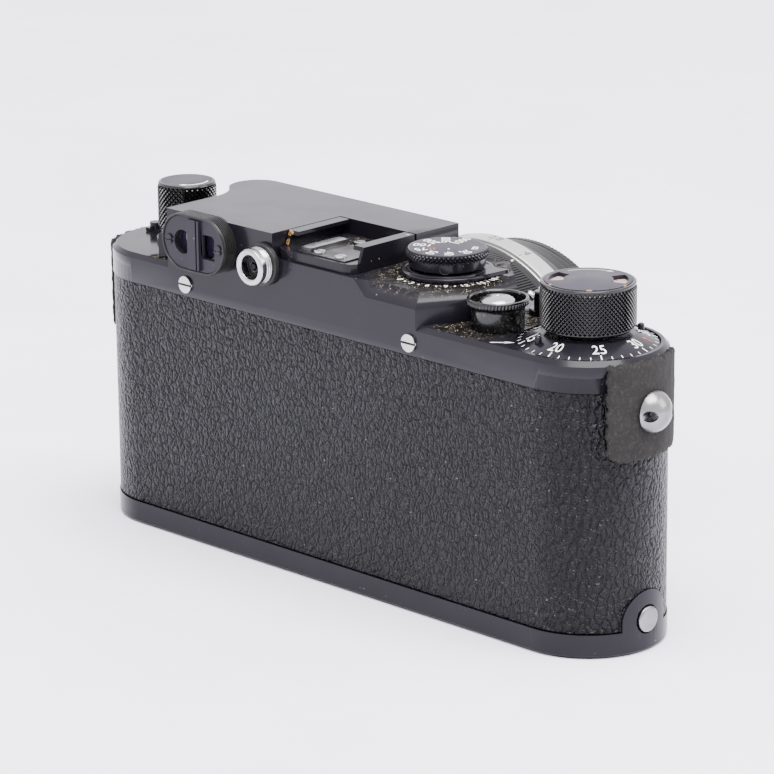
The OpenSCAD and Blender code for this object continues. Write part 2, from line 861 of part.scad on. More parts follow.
module front_windows() {
    color("lightblue", 0.4) {
        for (x = [-2.2, 36.4]) facing_front([x, 61]) rod(2.46, cover_r - 1.6, cover_r - 0.3);
        block([17.64, -cover_r + 0.3, 57.64], [27.56, -cover_r + 1.6, 64.36]);
    }
}

// ---- lens ----

module helicoid_body() {
    color("#8f8f92") on_lens() difference() {
        union() {
            rod(throat_r - 0.08, 13.2, mount_face + 0.1);
            rod(23.2, mount_face + 0.02, 21.2);
            rod(22.9, 21.1, 27.9);
        }
        rod(16.9, 0, 40);
    }
}

module focus_ring() {
    color("#232326") on_lens() difference() {
        union() {
            rod(focus_r, focus_back, 28.2);
            translate([0, 0, 28.1]) cylinder(h = focus_front - 28.1, r1 = focus_r + 0.3,
                r2 = aperture_r - 0.5);
        }
        rod(22.9 + fit, 0, 40);
    }
}

module lens_barrel() {
    color("#7d7d80") on_lens() {
        tube(16.8, 14.6, 13, 36);
        tube(14.7, 12.2, 13, 15);
        tube(12.6, 11.6, 6.5, 14);
    }
}

module aperture_ring() {
    color("gainsboro") on_lens() tube(aperture_r, 16.8 + fit, aperture_back, aperture_front);
}

module front_barrel() {
    color("#2e2e30") on_lens() difference() {
        union() {
            translate([0, 0, aperture_front + 0.3]) cylinder(h = 3, r1 = 27.9, r2 = 27.2);
            rod(26.6, 36, lens_front - 3.8);
        }
        rod(16.82, 30, 36.1);
        rod(19.4, 36.05, 50);
    }
}

module front_rim() {
    color("#2a2a2c") on_lens() {
        tube(26.2, filter_r, lens_front - 3.75, lens_front);
        tube(filter_r + 0.1, 18.2, lens_front - 3.75, lens_front - 3.4);
    }
}

// One biconvex element: its edge runs from z0 to z1 and each face bulges out by a shallow arc
module element(r, z0, z1, bulge) {
    steps = 8;
    rotate_extrude() polygon(concat(
        [for (i = [0 : steps]) [r * i / steps, z0 - bulge * (1 - pow(i / steps, 2))]],
        [for (i = [steps : -1 : 0]) [r * i / steps, z1 + bulge * (1 - pow(i / steps, 2))]]));
}

module lens_glass() {
    color("lightblue", 0.4) on_lens() {
        element(19.2, 37.6, 37.9, 1.4);
        element(11.5, 8.4, 8.8, 1);
    }
}

module iris_diaphragm() {
    color("#3c3c3e") on_lens() translate([0, 0, 24]) linear_extrude(0.5) difference() {
        circle(14.58);
        circle(6, $fn = 12);
    }
}

// ---- inside ----

module shutter_crate() {
    color("dimgray") difference() {
        block([-28.4, -12.2, 6], [31, 8.9, 49.4]);
        block([-27.4, -11.2, 7], [30, 7.9, 48.4]);
        // Film gate, lens throat, rangefinder arm and light well
        block([lens_x - 18, 7, lens_z - 12], [lens_x + 18, 10, lens_z + 12]);
        on_lens() rod(throat_r + 0.8, 10, 14);
        block([-3, -13, 43.5], [25.5, -5, 48.9]);
        at(arm_at) rod(arm_pin_r + fit, 48, 50);
        at(speed_at) rod(spindle_r + fit, 48, 50);
    }
}

module shutter_curtain() {
    color("#1b1b1b") block([speed_at[0] + 0.4, 3.1, 13], [26.6, 3.4, 47]);
}

module curtain_roller() {
    color("silver") at(roller_at) {
        rod(2.4, 12, 47);
        rod(0.8, 7.1, 48.3, $fn = small_fn);
    }
}

module pressure_plate() {
    color("#262628") block([lens_x - 21, 9.1, lens_z - 15.5], [lens_x + 21, 10.1, lens_z + 15.5]);
}

module film_cassette() {
    color("goldenrod") at(rewind_at) {
        tube(11.8, 11.2, 8, 44.6);
        tube(11.8, 2.6, 44, 45.2);
        rod(11.8, 7.4, 8.2);
        rod(2.4, 8.1, 44.3);
    }
}

module rangefinder_arm() {
    color("silver") {
        at(arm_at) {
            rod(arm_pin_r, 44.6, 58.4);
            translate([-2.2, -1.6, 58.3]) cube([4.4, 3.2, 5]);
        }
        // Arm and roller that ride on the lens barrel's end
        block([0.4, arm_at[1] - 0.7, 45.4], [arm_at[0], arm_at[1] + 0.7, 47]);
        block([0.4, -11.4, 45.4], [1.6, arm_at[1] + 0.7, 47]);
        translate([lens_x, -11.7, 46.2]) rotate([0, 90, 0]) cylinder(h = 2.4, r = 1, center = true);
    }
}

body_shell();
covering();
base_plate();
base_stud();
tripod_bush();
lock_key();
key_bow();
top_cover();
cover_screws();
carrier_plate();
accessory_shoe();
shoe_spring();
shoe_screws();
eyepiece_block();
eyepiece_plate();
eyepiece_screws();
eyepiece_lenses();
sync_insulator();
sync_socket();
cover_pin();
strap_lugs();
lug_patch_wind_end();
lug_patch_rewind_end();
wind_knob();
wind_knob_cap();
film_speed_disc();
wind_shaft();
counter_dial();
counter_posts();
release_button();
release_guard();
release_spring();
reversing_lever();
speed_dial();
dial_sleeve();
sync_ring();
shutter_spindle();
sprocket();
take_up_spool();
rewind_knob();
rewind_shaft();
diopter_lever();
lens_flange();
flange_screws();
slow_speed_dial();
front_windows();
helicoid_body();
focus_ring();
lens_barrel();
aperture_ring();
front_barrel();
front_rim();
lens_glass();
iris_diaphragm();
shutter_crate();
shutter_curtain();
curtain_roller();
pressure_plate();
film_cassette();
rangefinder_arm();
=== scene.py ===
"""Looks of a 1950s screw-mount rangefinder camera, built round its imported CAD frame.

Shapes are worked out in millimetres and written to the meshes in metres.
Turned pieces are lathe profiles, the plain milled ones are softened copies of their CAD nodes.
"""
import json
import math
import random

import bmesh
import bpy
from mathutils import Matrix, Vector


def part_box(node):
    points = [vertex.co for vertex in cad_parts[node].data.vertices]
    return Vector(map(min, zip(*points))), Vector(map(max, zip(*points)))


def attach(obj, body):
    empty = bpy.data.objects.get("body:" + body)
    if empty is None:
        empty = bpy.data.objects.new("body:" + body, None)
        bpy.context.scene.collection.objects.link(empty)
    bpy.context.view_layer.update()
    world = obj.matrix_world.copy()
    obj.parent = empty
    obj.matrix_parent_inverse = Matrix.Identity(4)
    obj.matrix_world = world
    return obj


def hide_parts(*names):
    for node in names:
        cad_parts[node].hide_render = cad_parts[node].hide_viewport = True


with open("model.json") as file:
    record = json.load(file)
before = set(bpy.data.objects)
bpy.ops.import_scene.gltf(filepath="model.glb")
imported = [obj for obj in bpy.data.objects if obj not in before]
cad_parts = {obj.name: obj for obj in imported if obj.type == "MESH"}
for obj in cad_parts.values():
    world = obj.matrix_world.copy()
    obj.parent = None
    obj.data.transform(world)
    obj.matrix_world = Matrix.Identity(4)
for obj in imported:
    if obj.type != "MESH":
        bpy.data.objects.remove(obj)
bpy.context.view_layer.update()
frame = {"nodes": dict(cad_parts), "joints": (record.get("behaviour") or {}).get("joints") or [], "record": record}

MM = 0.001
NODES = frame["nodes"]
BODY_OF = {n: b for b, members in frame["record"]["behaviour"]["bodies"].items() for n in members}
JOINTS = {j["name"]: j for j in frame["joints"]}


# ---- places, in millimetres ----

def low(node):
    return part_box(node)[0] / MM


def high(node):
    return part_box(node)[1] / MM


def axis_of(joint):
    return Vector(JOINTS[joint]["pos_m"]) / MM


WIND = axis_of("wind_turn")
RELEASE = axis_of("sprocket_turn")
REVERSE = axis_of("reversing_turn")
SPEED = axis_of("spindle_turn")
REWIND = axis_of("rewind_turn")
SLOW = axis_of("slow_speed_turn")
LENS = axis_of("focus_turn")
SYNC = (low("sync_socket") + high("sync_socket")) / 2
EYEPIECE = (low("eyepiece_block") + high("eyepiece_block")) / 2
COVER_R = high("top_cover").y
BODY_R = high("covering").y
END_X = high("covering").x - BODY_R
TOP_Z = high("top_cover").z
DECK_Z = low("release_guard").z
MID_Z = low("accessory_shoe").z
SEAM_Z = low("top_cover").z
# Heights and radii inside one piece, as the CAD part has them
KNOB_FOOT_Z = 58.2
COUNTER_RIM_Z = 55.6
COUNTER_CONE_R = 8.6
COUNTER_PINS = (72, 244)
SLOT_DEPTH = 0.35
PIN_RING_R = 10.3
SHOULDER_Z = 58.9
SHOE_FLOOR_Z = 63.9
CAP_Z = 67.15


# ---- frames of turned pieces: local Z runs out of the surface ----

def axes(origin, x, y, z):
    turn = Matrix((x, y, z)).transposed().to_4x4()
    return Matrix.Translation(origin) @ turn


def upright(at, z=0.0):
    return axes((at.x, at.y, z), (1, 0, 0), (0, 1, 0), (0, 0, 1))


def facing_front(at, y=0.0):
    return axes((at.x, y, at.z), (1, 0, 0), (0, 0, 1), (0, -1, 0))


def facing_back(at, y=0.0):
    return axes((at.x, y, at.z), (-1, 0, 0), (0, 0, 1), (0, 1, 0))


def facing_end(side, z):
    return axes((side * END_X, 0, z), (0, side, 0), (0, 0, 1), (side, 0, 0))


# ---- materials ----

def grey(value, warm=0.0):
    return (value * (1 + warm), value, value * (1 - warm), 1.0)


def violet(value):
    """A black with a slight violet cast."""
    return (value * 1.06, value * 0.9, value * 1.3, 1.0)


class Look:
    """A material being made, with the nodes that its patterns are built from.

    Its where is the piece's own coordinates, in metres at rest, so that no pattern slides
    when the piece moves.
    """

    def __init__(self, name, metallic=0.0, specular=0.5, coat=0.0, coat_roughness=0.1, sheen=0.0):
        self.mat = bpy.data.materials.new(name)
        self.mat.use_nodes = True
        self.tree = self.mat.node_tree
        self.tree.nodes.clear()
        out = self.tree.nodes.new("ShaderNodeOutputMaterial")
        surface = self.tree.nodes.new("ShaderNodeBsdfPrincipled")
        self.tree.links.new(surface.outputs[0], out.inputs[0])
        surface.inputs["Metallic"].default_value = metallic
        surface.inputs["Specular IOR Level"].default_value = specular
        surface.inputs["Coat Weight"].default_value = coat
        surface.inputs["Coat Roughness"].default_value = coat_roughness
        surface.inputs["Sheen Weight"].default_value = sheen
        self.inputs = surface.inputs
        self.where = self.node("TexCoord", {}).outputs["Object"]

    def feed(self, socket, value):
        """Links a socket to an output, or sets it to a constant."""
        if isinstance(value, bpy.types.NodeSocket):
            self.tree.links.new(value, socket)
        else:
            socket.default_value = value

    def node(self, kind, inputs, **settings):
        made = self.tree.nodes.new("ShaderNode" + kind)
        for key, value in settings.items():
            setattr(made, key, value)
        for key, value in inputs.items():
            self.feed(made.inputs[key], value)
        return made

    def maths(self, operation, a, b):
        return self.node("Math", {0: a, 1: b}, operation=operation).outputs[0]

    def times(self, a, b):
        return self.maths("MULTIPLY", a, b)

    def plus(self, a, b):
        return self.maths("ADD", a, b)

    def mix(self, factor, a, b):
        return self.node("Mix", {0: factor, 6: a, 7: b}, data_type="RGBA").outputs[2]

    def span(self, value, from_low, from_high, to_low=0.0, to_high=1.0):
        """Maps a value from one range to another, clamped."""
        limits = {0: value, 1: from_low, 2: from_high, 3: to_low, 4: to_high}
        return self.node("MapRange", limits).outputs[0]

    def noise(self, scale, detail=3.0, roughness=0.5, where=None):
        inputs = {"Vector": where or self.where, "Scale": scale, "Detail": detail, "Roughness": roughness}
        return self.node("TexNoise", inputs).outputs[0]

    def grains(self, scale, feature="F1", where=None):
        inputs = {"Vector": where or self.where, "Scale": scale}
        return self.node("TexVoronoi", inputs, feature=feature).outputs[0]

    def bump(self, height, strength, depth_mm):
        inputs = {"Height": height, "Strength": strength, "Distance": depth_mm * MM}
        return self.node("Bump", inputs).outputs[0]

    def finish(self, color, roughness, normal=None):
        self.feed(self.inputs["Base Color"], color)
        self.feed(self.inputs["Roughness"], roughness)
        if normal:
            self.feed(self.inputs["Normal"], normal)
        return self.mat


def near(look, spots):
    """1 close to any of the spots, falling to 0; a spot is a point in millimetres and its reach."""
    total = None
    for point, reach in spots:
        away = look.node("VectorMath", {0: look.where, 1: Vector(point) * MM}, operation="DISTANCE")
        close = look.span(away.outputs["Value"], reach * MM, 0.0)
        total = close if total is None else look.maths("MAXIMUM", total, close)
    return total


def enamel(name, tone=0.006, gloss=0.2, brass_spots=(), gritty=()):
    """Baked black enamel over brass: faint orange peel, dust, rubbed-through spots and gritty decks."""
    look = Look(name, specular=0.13, coat=0.08, coat_roughness=0.08)
    cloud = look.noise(90, 4)
    fine = look.noise(1400, 2)
    dust = look.span(look.grains(420), 0.09, 0.03)
    dust = look.times(dust, look.span(look.noise(260, 2), 0.5, 0.62))
    color = look.mix(cloud, violet(tone * 0.75), violet(tone * 1.35))
    color = look.mix(look.times(dust, 0.35), color, grey(0.32, 0.06))
    rough = look.span(cloud, 0.3, 0.7, gloss * 0.75, gloss * 1.35)
    height = look.times(fine, 0.12)
    if gritty:
        spread = look.span(near(look, gritty), 0.05, 0.4)
        facing = look.node("SeparateXYZ", {0: look.node("NewGeometry", {}).outputs["Normal"]}).outputs[2]
        spread = look.times(spread, look.span(facing, 0.75, 0.95))
        grit = look.noise(2600, 3, 0.7)
        patchy = look.span(look.noise(380, 3), 0.3, 0.5)
        spread = look.times(spread, patchy)
        earth = look.mix(look.span(grit, 0.45, 0.7), grey(0.002, 0.1), (0.010, 0.008, 0.006, 1))
        sparkle = look.span(look.grains(3200), 0.3, 0.16)
        sown = look.span(look.noise(1100, 3), 0.46, 0.6)
        earth = look.mix(look.times(sparkle, sown), earth, (0.62, 0.54, 0.42, 1))
        color = look.mix(spread, color, earth)
        rough = look.plus(rough, look.times(spread, 0.5))
        look.feed(look.inputs["Specular IOR Level"], look.span(spread, 0, 1, 0.13, 0.03))
        look.feed(look.inputs["Coat Weight"], look.span(spread, 0, 1, 0.08, 0.0))
        height = look.plus(height, look.times(spread, grit))
    if brass_spots:
        edge = look.noise(900, 5, 0.65)
        rubbed = look.plus(near(look, brass_spots), look.times(edge, 0.9))
        rubbed = look.span(rubbed, 0.92, 1.0)
        color = look.mix(rubbed, color, (0.55, 0.33, 0.12, 1))
        look.feed(look.inputs["Metallic"], look.times(rubbed, 0.85))
    return look.finish(color, rough, look.bump(height, 0.35, 0.05))


def vulcanite():
    """Pebbled hard rubber: uneven cells with creases between them, the cell tops painted paler as lit and the
    creases painted darker as shade.
    """
    look = Look("vulcanite", specular=0.14)
    bend = look.node("TexNoise", {"Vector": look.where, "Scale": 520, "Detail": 3})
    swing = look.node("VectorMath", {0: bend.outputs[1], 1: (0.0009, 0.0009, 0.0009)}, operation="MULTIPLY")
    bent = look.node("VectorMath", {0: look.where, 1: swing.outputs[0]}, operation="ADD").outputs[0]
    stretched = look.node("Mapping", {"Vector": bent, "Scale": (1.15, 1.15, 0.8),
                                       "Rotation": (0.5, 0.4, 0.5)}).outputs[0]
    pebble = look.span(look.grains(640, "DISTANCE_TO_EDGE", stretched), 0.0, 0.2)
    kernel = look.span(look.grains(1250, "DISTANCE_TO_EDGE", bent), 0.0, 0.3)
    ripple = look.noise(2100, 3, where=bent)
    swell = look.noise(300, 2)
    height = look.plus(pebble, look.times(kernel, 0.45))
    height = look.plus(height, look.times(ripple, 0.3))
    height = look.plus(height, look.times(swell, 1.4))
    # painted shade: each cell is coloured darker towards its creases and paler on its top
    tone = look.mix(pebble, (0.0008, 0.0007, 0.001, 1), (0.004, 0.0036, 0.0055, 1))
    tone = look.mix(look.span(look.noise(26, 3), 0.35, 0.7, 0, 0.3), tone, grey(0.012, -0.1))
    specks = look.span(look.grains(300), 0.06, 0.02)
    tone = look.mix(look.times(specks, 0.5), tone, grey(0.3, 0.05))
    rough = look.span(ripple, 0.3, 0.75, 0.22, 0.42)
    return look.finish(tone, rough, look.bump(height, 1.0, 0.42))


def bare_metal(name, color, rough=0.22, grain=700, metallic=1.0, stain=0.12):
    """Plated or turned metal: fine brushing, handling marks and dull patches."""
    look = Look(name, metallic=metallic)
    brushed = look.node("Mapping", {"Vector": look.where, "Scale": (1, 1, 6)}).outputs[0]
    lines = look.noise(grain, 4, 0.7, brushed)
    patch = look.noise(160, 3)
    dark = tuple(c * (1 - 2 * stain) for c in color[:3]) + (1.0,)
    tone = look.mix(look.span(patch, 0.35, 0.7), dark, color)
    roughness = look.plus(look.span(lines, 0.3, 0.7, rough * 0.7, rough * 1.3),
                      look.span(patch, 0.4, 0.75, 0.08, 0.0))
    return look.finish(tone, roughness, look.bump(lines, 0.15, 0.02))


def knurled_enamel(name, dust_and_glint_from, dust_and_glint_share):
    """Black enamel on cut diamonds: glossy, with pale flecks that are partly dust and partly painted glints."""
    look = Look(name, specular=0.3, coat=0.15)
    cloud = look.noise(420, 4)
    tone = look.mix(cloud, grey(0.0015), grey(0.004, 0.02))
    # pale flecks: part dust, part painted glints on the diamonds
    dust = look.span(look.noise(1900, 3, 0.7), dust_and_glint_from, dust_and_glint_from + 0.12)
    tone = look.mix(look.times(dust, dust_and_glint_share), tone, grey(0.16, 0.08))
    return look.finish(tone, look.span(cloud, 0.3, 0.7, 0.12, 0.26),
                       look.bump(look.noise(3000, 2), 0.2, 0.03))


def rubbed_tips():
    """Tops of the diamonds, rubbed by fingers and painted bright as glints: some bright, most still black."""
    look = Look("rubbed_tips", specular=0.8, coat=0.6, coat_roughness=0.05)
    wear_and_glint = look.span(look.noise(900, 3, 0.7), 0.42, 0.6)
    # painted glints: the rubbed tips are coloured pale grey for glints as well as wear
    tone = look.mix(wear_and_glint, grey(0.01), grey(0.6, -0.06))
    return look.finish(tone, look.span(wear_and_glint, 0, 1, 0.16, 0.3))


def suede():
    """Old grey-brown leather: mottled, scuffed pale along its nap, darker in its pores."""
    look = Look("patch_leather", specular=0.1, sheen=0.02)
    broad = look.noise(110, 5, 0.6)
    nap = look.noise(1700, 5, 0.75)
    pores = look.grains(1500)
    tone = look.mix(broad, (0.0085, 0.0079, 0.0078, 1), (0.019, 0.0178, 0.0172, 1))
    along = look.node("Mapping", {"Vector": look.where, "Scale": (1, 1, 0.4), "Rotation": (0.5, 0, 0)})
    fibres = look.noise(2600, 4, 0.75, along.outputs[0])
    tone = look.mix(look.span(nap, 0.5, 0.72, 0, 0.5), tone, (0.045, 0.041, 0.033, 1))
    tone = look.mix(look.span(fibres, 0.52, 0.74, 0, 0.3), tone, (0.075, 0.068, 0.056, 1))
    tone = look.mix(look.span(pores, 0.0, 0.25, 0.5, 0.0), tone, (0.006, 0.0055, 0.005, 1))
    height = look.plus(nap, look.times(broad, 1.4))
    return look.finish(tone, look.span(nap, 0.3, 0.8, 0.75, 0.95), look.bump(height, 0.9, 0.16))


def ink(name, color, wear=0.45):
    """Filling of engraved figures, patchy with age."""
    look = Look(name, specular=0.3)
    gone = look.span(look.noise(1500, 4, 0.7), 0.62, 0.74)
    dull = tuple(c * 0.35 for c in color[:3]) + (1.0,)
    tone = look.mix(look.times(gone, wear), color, dull)
    return look.finish(tone, look.span(gone, 0, 1, 0.5, 0.7))


def coated_glass():
    """Dark lens glass with a violet coating, lightly smeared; the coating's violet reflection is painted into the
    colour, stronger towards grazing view.
    """
    look = Look("coated_glass", specular=0.6, coat=0.5, coat_roughness=0.02)
    # painted reflection: colour goes from near-black facing the view to violet at grazing angles
    depth = look.node("LayerWeight", {"Blend": 0.4}).outputs["Facing"]
    tone = look.mix(depth, (0.003, 0.003, 0.005, 1), (0.030, 0.022, 0.050, 1))
    smear = look.span(look.noise(140, 3), 0.35, 0.7, 0.02, 0.09)
    return look.finish(tone, smear)


def moulded(name, tone, rough=0.5, scale=2200):
    """Matt black lacquer or moulded plastic with a fine tooth."""
    look = Look(name, specular=0.16)
    tooth = look.noise(scale, 3, 0.6)
    cloud = look.noise(120, 3)
    color = look.mix(cloud, grey(tone * 0.8), grey(tone * 1.3, 0.02))
    return look.finish(color, look.span(tooth, 0.3, 0.7, rough * 0.85, rough * 1.15),
                       look.bump(tooth, 0.3, 0.03))


def woven_silk():
    """Rubbered black cloth of the shutter curtain."""
    look = Look("curtain_cloth", sheen=0.2)
    threads = [look.node("TexWave", {"Vector": look.where, "Scale": 900, "Distortion": 0.6},
                    bands_direction=way).outputs[1] for way in ("X", "Z")]
    weave = look.maths("MAXIMUM", threads[0], threads[1])
    color = look.mix(weave, grey(0.008), grey(0.03))
    return look.finish(color, look.span(weave, 0, 1, 0.9, 0.7), look.bump(weave, 0.4, 0.05))


def paper():
    """Pale floor with very faint mottling."""
    look = Look("floor_paper", specular=0.15)
    mottle = look.noise(16, 5, 0.65)
    fleck = look.noise(260, 3)
    color = look.mix(look.span(mottle, 0.3, 0.7), (0.77, 0.755, 0.83, 1), (0.85, 0.84, 0.90, 1))
    return look.finish(color, look.span(fleck, 0, 1, 0.6, 0.75), look.bump(fleck, 0.08, 0.4))


SHOE_LOW, SHOE_HIGH = low("accessory_shoe"), high("accessory_shoe")
GRIT = [((SPEED.x, SPEED.y, MID_Z), 17), ((RELEASE.x + 3, RELEASE.y + 4, DECK_Z), 9),
        ((RELEASE.x, RELEASE.y - 8, DECK_Z), 8), ((REWIND.x - 6, 13, DECK_Z), 3.5)]
M = {
    "enamel": enamel("black_enamel", gritty=GRIT),
    "plain_enamel": enamel("plain_enamel"),
    "shoe_enamel": enamel("shoe_enamel", tone=0.005, brass_spots=[
        ((SHOE_HIGH.x - 0.6, 10.9, TOP_Z - 0.4), 1.5), ((SHOE_HIGH.x - 0.6, 11.8, 64.9), 1.6),
        ((SHOE_LOW.x + 1.2, 12.0, 64.4), 0.8), ((SHOE_LOW.x + 0.8, SHOE_LOW.y + 1, TOP_Z), 0.8)],
        gritty=[((3, 4, SHOE_FLOOR_Z), 9)]),
    "dial_enamel": enamel("dial_enamel", tone=0.006, gloss=0.2),
    "face_enamel": enamel("face_enamel", tone=0.009, gloss=0.36),
    "leaf": bare_metal("shoe_leaf", (0.16, 0.155, 0.15, 1), 0.34, 500, 0.9, 0.4),
    "cap_enamel": enamel("cap_enamel", tone=0.018, gloss=0.42, brass_spots=[
        ((WIND.x - 5.5, WIND.y + 5.9, CAP_Z), 1.1), ((WIND.x + 2.6, WIND.y + 7.6, CAP_Z), 0.9),
        ((WIND.x - 8, WIND.y - 1, CAP_Z), 0.8)]),
    "knurl": knurled_enamel("knurled_enamel", 0.66, 0.3),
    "worn_knurl": knurled_enamel("worn_knurled_enamel", 0.6, 0.45),
    "tips": rubbed_tips(),
    "vulcanite": vulcanite(),
    "chrome": bare_metal("satin_chrome", (0.47, 0.47, 0.48, 1), 0.16),
    "worn_chrome": bare_metal("worn_chrome", (0.27, 0.265, 0.265, 1), 0.22, 500, 1.0, 0.2),
    "screw": bare_metal("screw_metal", (0.48, 0.47, 0.46, 1), 0.26, 1300),
    "steel": bare_metal("inner_steel", (0.52, 0.52, 0.53, 1), 0.32),
    "brass": bare_metal("turned_brass", (0.70, 0.50, 0.22, 1), 0.28),
    "silver_ring": bare_metal("silver_ring", (0.48, 0.465, 0.45, 1), 0.33, 1500, 0.75, 0.05),
    "lens_black": moulded("lens_black", 0.010, 0.36),
    "shell": moulded("shell_lacquer", 0.02, 0.6, 1200),
    "bakelite": moulded("bakelite", 0.012, 0.3, 900),
    "leather": suede(),
    "white": ink("white_filling", (0.78, 0.78, 0.75, 1)),
    "worn_white": ink("worn_white_filling", (0.78, 0.78, 0.75, 1), 0.95),
    # painted shade: near-black fill laid into slots and the socket's contact where shade falls
    "soot": ink("soot", (0.003, 0.003, 0.003, 1), 0.1),
    "gold": ink("gold_filling", (0.42, 0.36, 0.24, 1), 0.7),
    "red": ink("red_filling", (0.45, 0.03, 0.02, 1)),
    "black_ink": ink("black_filling", (0.06, 0.06, 0.065, 1), 0.2),
    "pale": ink("pale_disc", (0.30, 0.24, 0.21, 1), 0.3),
    "glass": coated_glass(),
    "silk": woven_silk(),
}


# ---- meshes ----

def circle(r, a):
    """Point at angle a, in radians, on a circle round the origin."""
    return r * math.cos(a), r * math.sin(a)


def piece(name, bm, mat, body, replaces=(), sharp=38):
    """Turns a bmesh in millimetres into a piece that rides on a body. mat is one name in M, or a list."""
    bmesh.ops.scale(bm, vec=(MM, MM, MM), verts=bm.verts)
    mesh = bpy.data.meshes.new(name)
    bm.to_mesh(mesh)
    bm.free()
    return place(name, mesh, mat, body, replaces, sharp)


def place(name, mesh, mat, body, replaces=(), sharp=38):
    mesh.materials.clear()
    for each in (mat if isinstance(mat, list) else [mat]):
        mesh.materials.append(M[each])
    mesh.shade_smooth()
    if sharp:
        mesh.set_sharp_from_angle(angle=math.radians(sharp))
    obj = bpy.data.objects.new(name, mesh)
    bpy.context.scene.collection.objects.link(obj)
    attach(obj, body)
    if replaces:
        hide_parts(*replaces)
    return obj


def stand_in(name, bm, mat, *nodes, sharp=38):
    """A piece that takes the place and body of its CAD nodes, and hides them."""
    return piece(name, bm, mat, BODY_OF[nodes[0]], nodes, sharp)


def detail(name, bm, mat, host, sharp=38):
    """A small piece that rides with a CAD node's body and replaces nothing."""
    return piece(name, bm, mat, BODY_OF[host], (), sharp)


def paint(mat, *nodes):
    """Gives a material to CAD nodes that stay as they are."""
    for name in nodes:
        NODES[name].data.materials.clear()
        NODES[name].data.materials.append(M[mat])


def round_ends(bm, cuts=3):
    """Splits the chords of the casing's rounded ends and puts the new points on the true arc."""
    ring = bm.verts.layers.float.new("ring")
    for vert in bm.verts:
        vert[ring] = math.hypot(abs(vert.co.x) - END_X * MM, vert.co.y)
    chords = []
    for edge in bm.edges:
        a, b = edge.verts
        level = abs(a.co.z - b.co.z) < 1e-6
        beyond = min(abs(a.co.x), abs(b.co.x)) > END_X * MM - 1e-5 and a.co.x * b.co.x > 0
        on_one_ring = abs(a[ring] - b[ring]) < 2e-6 and a[ring] > 10 * MM
        if level and beyond and on_one_ring and edge.calc_length() > 2 * MM:
            chords.append(edge)
    made = bmesh.ops.subdivide_edges(bm, edges=chords, cuts=cuts)
    for vert in made["geom_inner"]:
        if isinstance(vert, bmesh.types.BMVert):
            axis = Vector((math.copysign(END_X * MM, vert.co.x), 0))
            out = (vert.co.xy - axis).normalized() * vert[ring]
            vert.co.xy = axis + out


def softened(name, source, mat, width, segments=2, angle=30, keep=None):
    """A copy of a CAD node with its edges rounded; keep(edge) picks the edges."""
    bm = bmesh.new()
    bm.from_mesh(NODES[source].data)
    bmesh.ops.remove_doubles(bm, verts=bm.verts, dist=1e-7)
    bmesh.ops.dissolve_limit(bm, angle_limit=math.radians(0.4), verts=bm.verts, edges=bm.edges)
    if source in ("top_cover", "base_plate"):
        round_ends(bm)
    bm.verts.index_update()
    clean = bpy.data.meshes.new(name)
    clean.from_pydata([v.co for v in bm.verts], [], [[v.index for v in f.verts] for f in bm.faces])
    bm.free()
    bm = bmesh.new()
    bm.from_mesh(clean)
    weight = bm.edges.layers.float.new("bevel_weight_edge")
    for edge in bm.edges:
        turned_by = edge.calc_face_angle(0) if len(edge.link_faces) == 2 else 0
        share = 1.0 if keep is None else keep(edge)
        edge[weight] = share if turned_by > math.radians(angle) else 0.0
    bm.to_mesh(clean)
    bm.free()
    obj = place(name, clean, mat, BODY_OF[source], (source,), 0)
    rounding = obj.modifiers.new("rounding", "BEVEL")
    rounding.width = width * MM
    rounding.segments = segments
    rounding.limit_method = "WEIGHT"
    rounding.use_clamp_overlap = True
    rounding.miter_outer = "MITER_ARC"
    even = obj.modifiers.new("even_normals", "WEIGHTED_NORMAL")
    even.keep_sharp = True
    depsgraph = bpy.context.evaluated_depsgraph_get()
    made = bpy.data.meshes.new_from_object(obj.evaluated_get(depsgraph))
    obj.modifiers.clear()
    obj.data = made
    made.name = name
    return obj


def rounded(points, radius=0.12, steps=3):
    """Rounds the corners of an open profile of (radius, height) points."""
    out = [points[0]]
    for before, here, after in zip(points, points[1:], points[2:]):
        a, b, c = Vector(before), Vector(here), Vector(after)
        cut = min(radius, 0.45 * (a - b).length, 0.45 * (c - b).length)
        if cut < 1e-4:
            out.append(here)
            continue
        start, end = b + (a - b).normalized() * cut, b + (c - b).normalized() * cut
        for i in range(steps + 1):
            t = i / steps
            out.append(tuple(start * (1 - t) ** 2 + b * 2 * t * (1 - t) + end * t ** 2))
    out.append(points[-1])
    return out


def turned(bm, place_at, profile, segments=96, wave=None):
    """Adds a surface of revolution about the frame's Z. wave(angle, r, z) gives a changed radius."""
    rings = []
    for r, z in profile:
        if r < 1e-6:
            rings.append([bm.verts.new(place_at @ Vector((0, 0, z)))])
            continue
        ring = []
        for k in range(segments):
            a = 2 * math.pi * k / segments
            reach = wave(a, r, z) if wave else r
            ring.append(bm.verts.new(place_at @ Vector((*circle(reach, a), z))))
        rings.append(ring)
    for one, two in zip(rings, rings[1:]):
        for k in range(segments):
            n = (k + 1) % segments
            quad = [one[k % len(one)], one[n % len(one)], two[n % len(two)], two[k % len(two)]]
            face = list(dict.fromkeys(quad))
            if len(face) > 2:
                bm.faces.new(face)
    return bm


def lathe(place_at, profile, radius=0.12, segments=96, wave=None, bm=None, steps=3):
    bm = bm or bmesh.new()
    turned(bm, place_at, rounded(profile, radius, steps), segments, wave)
    return bm


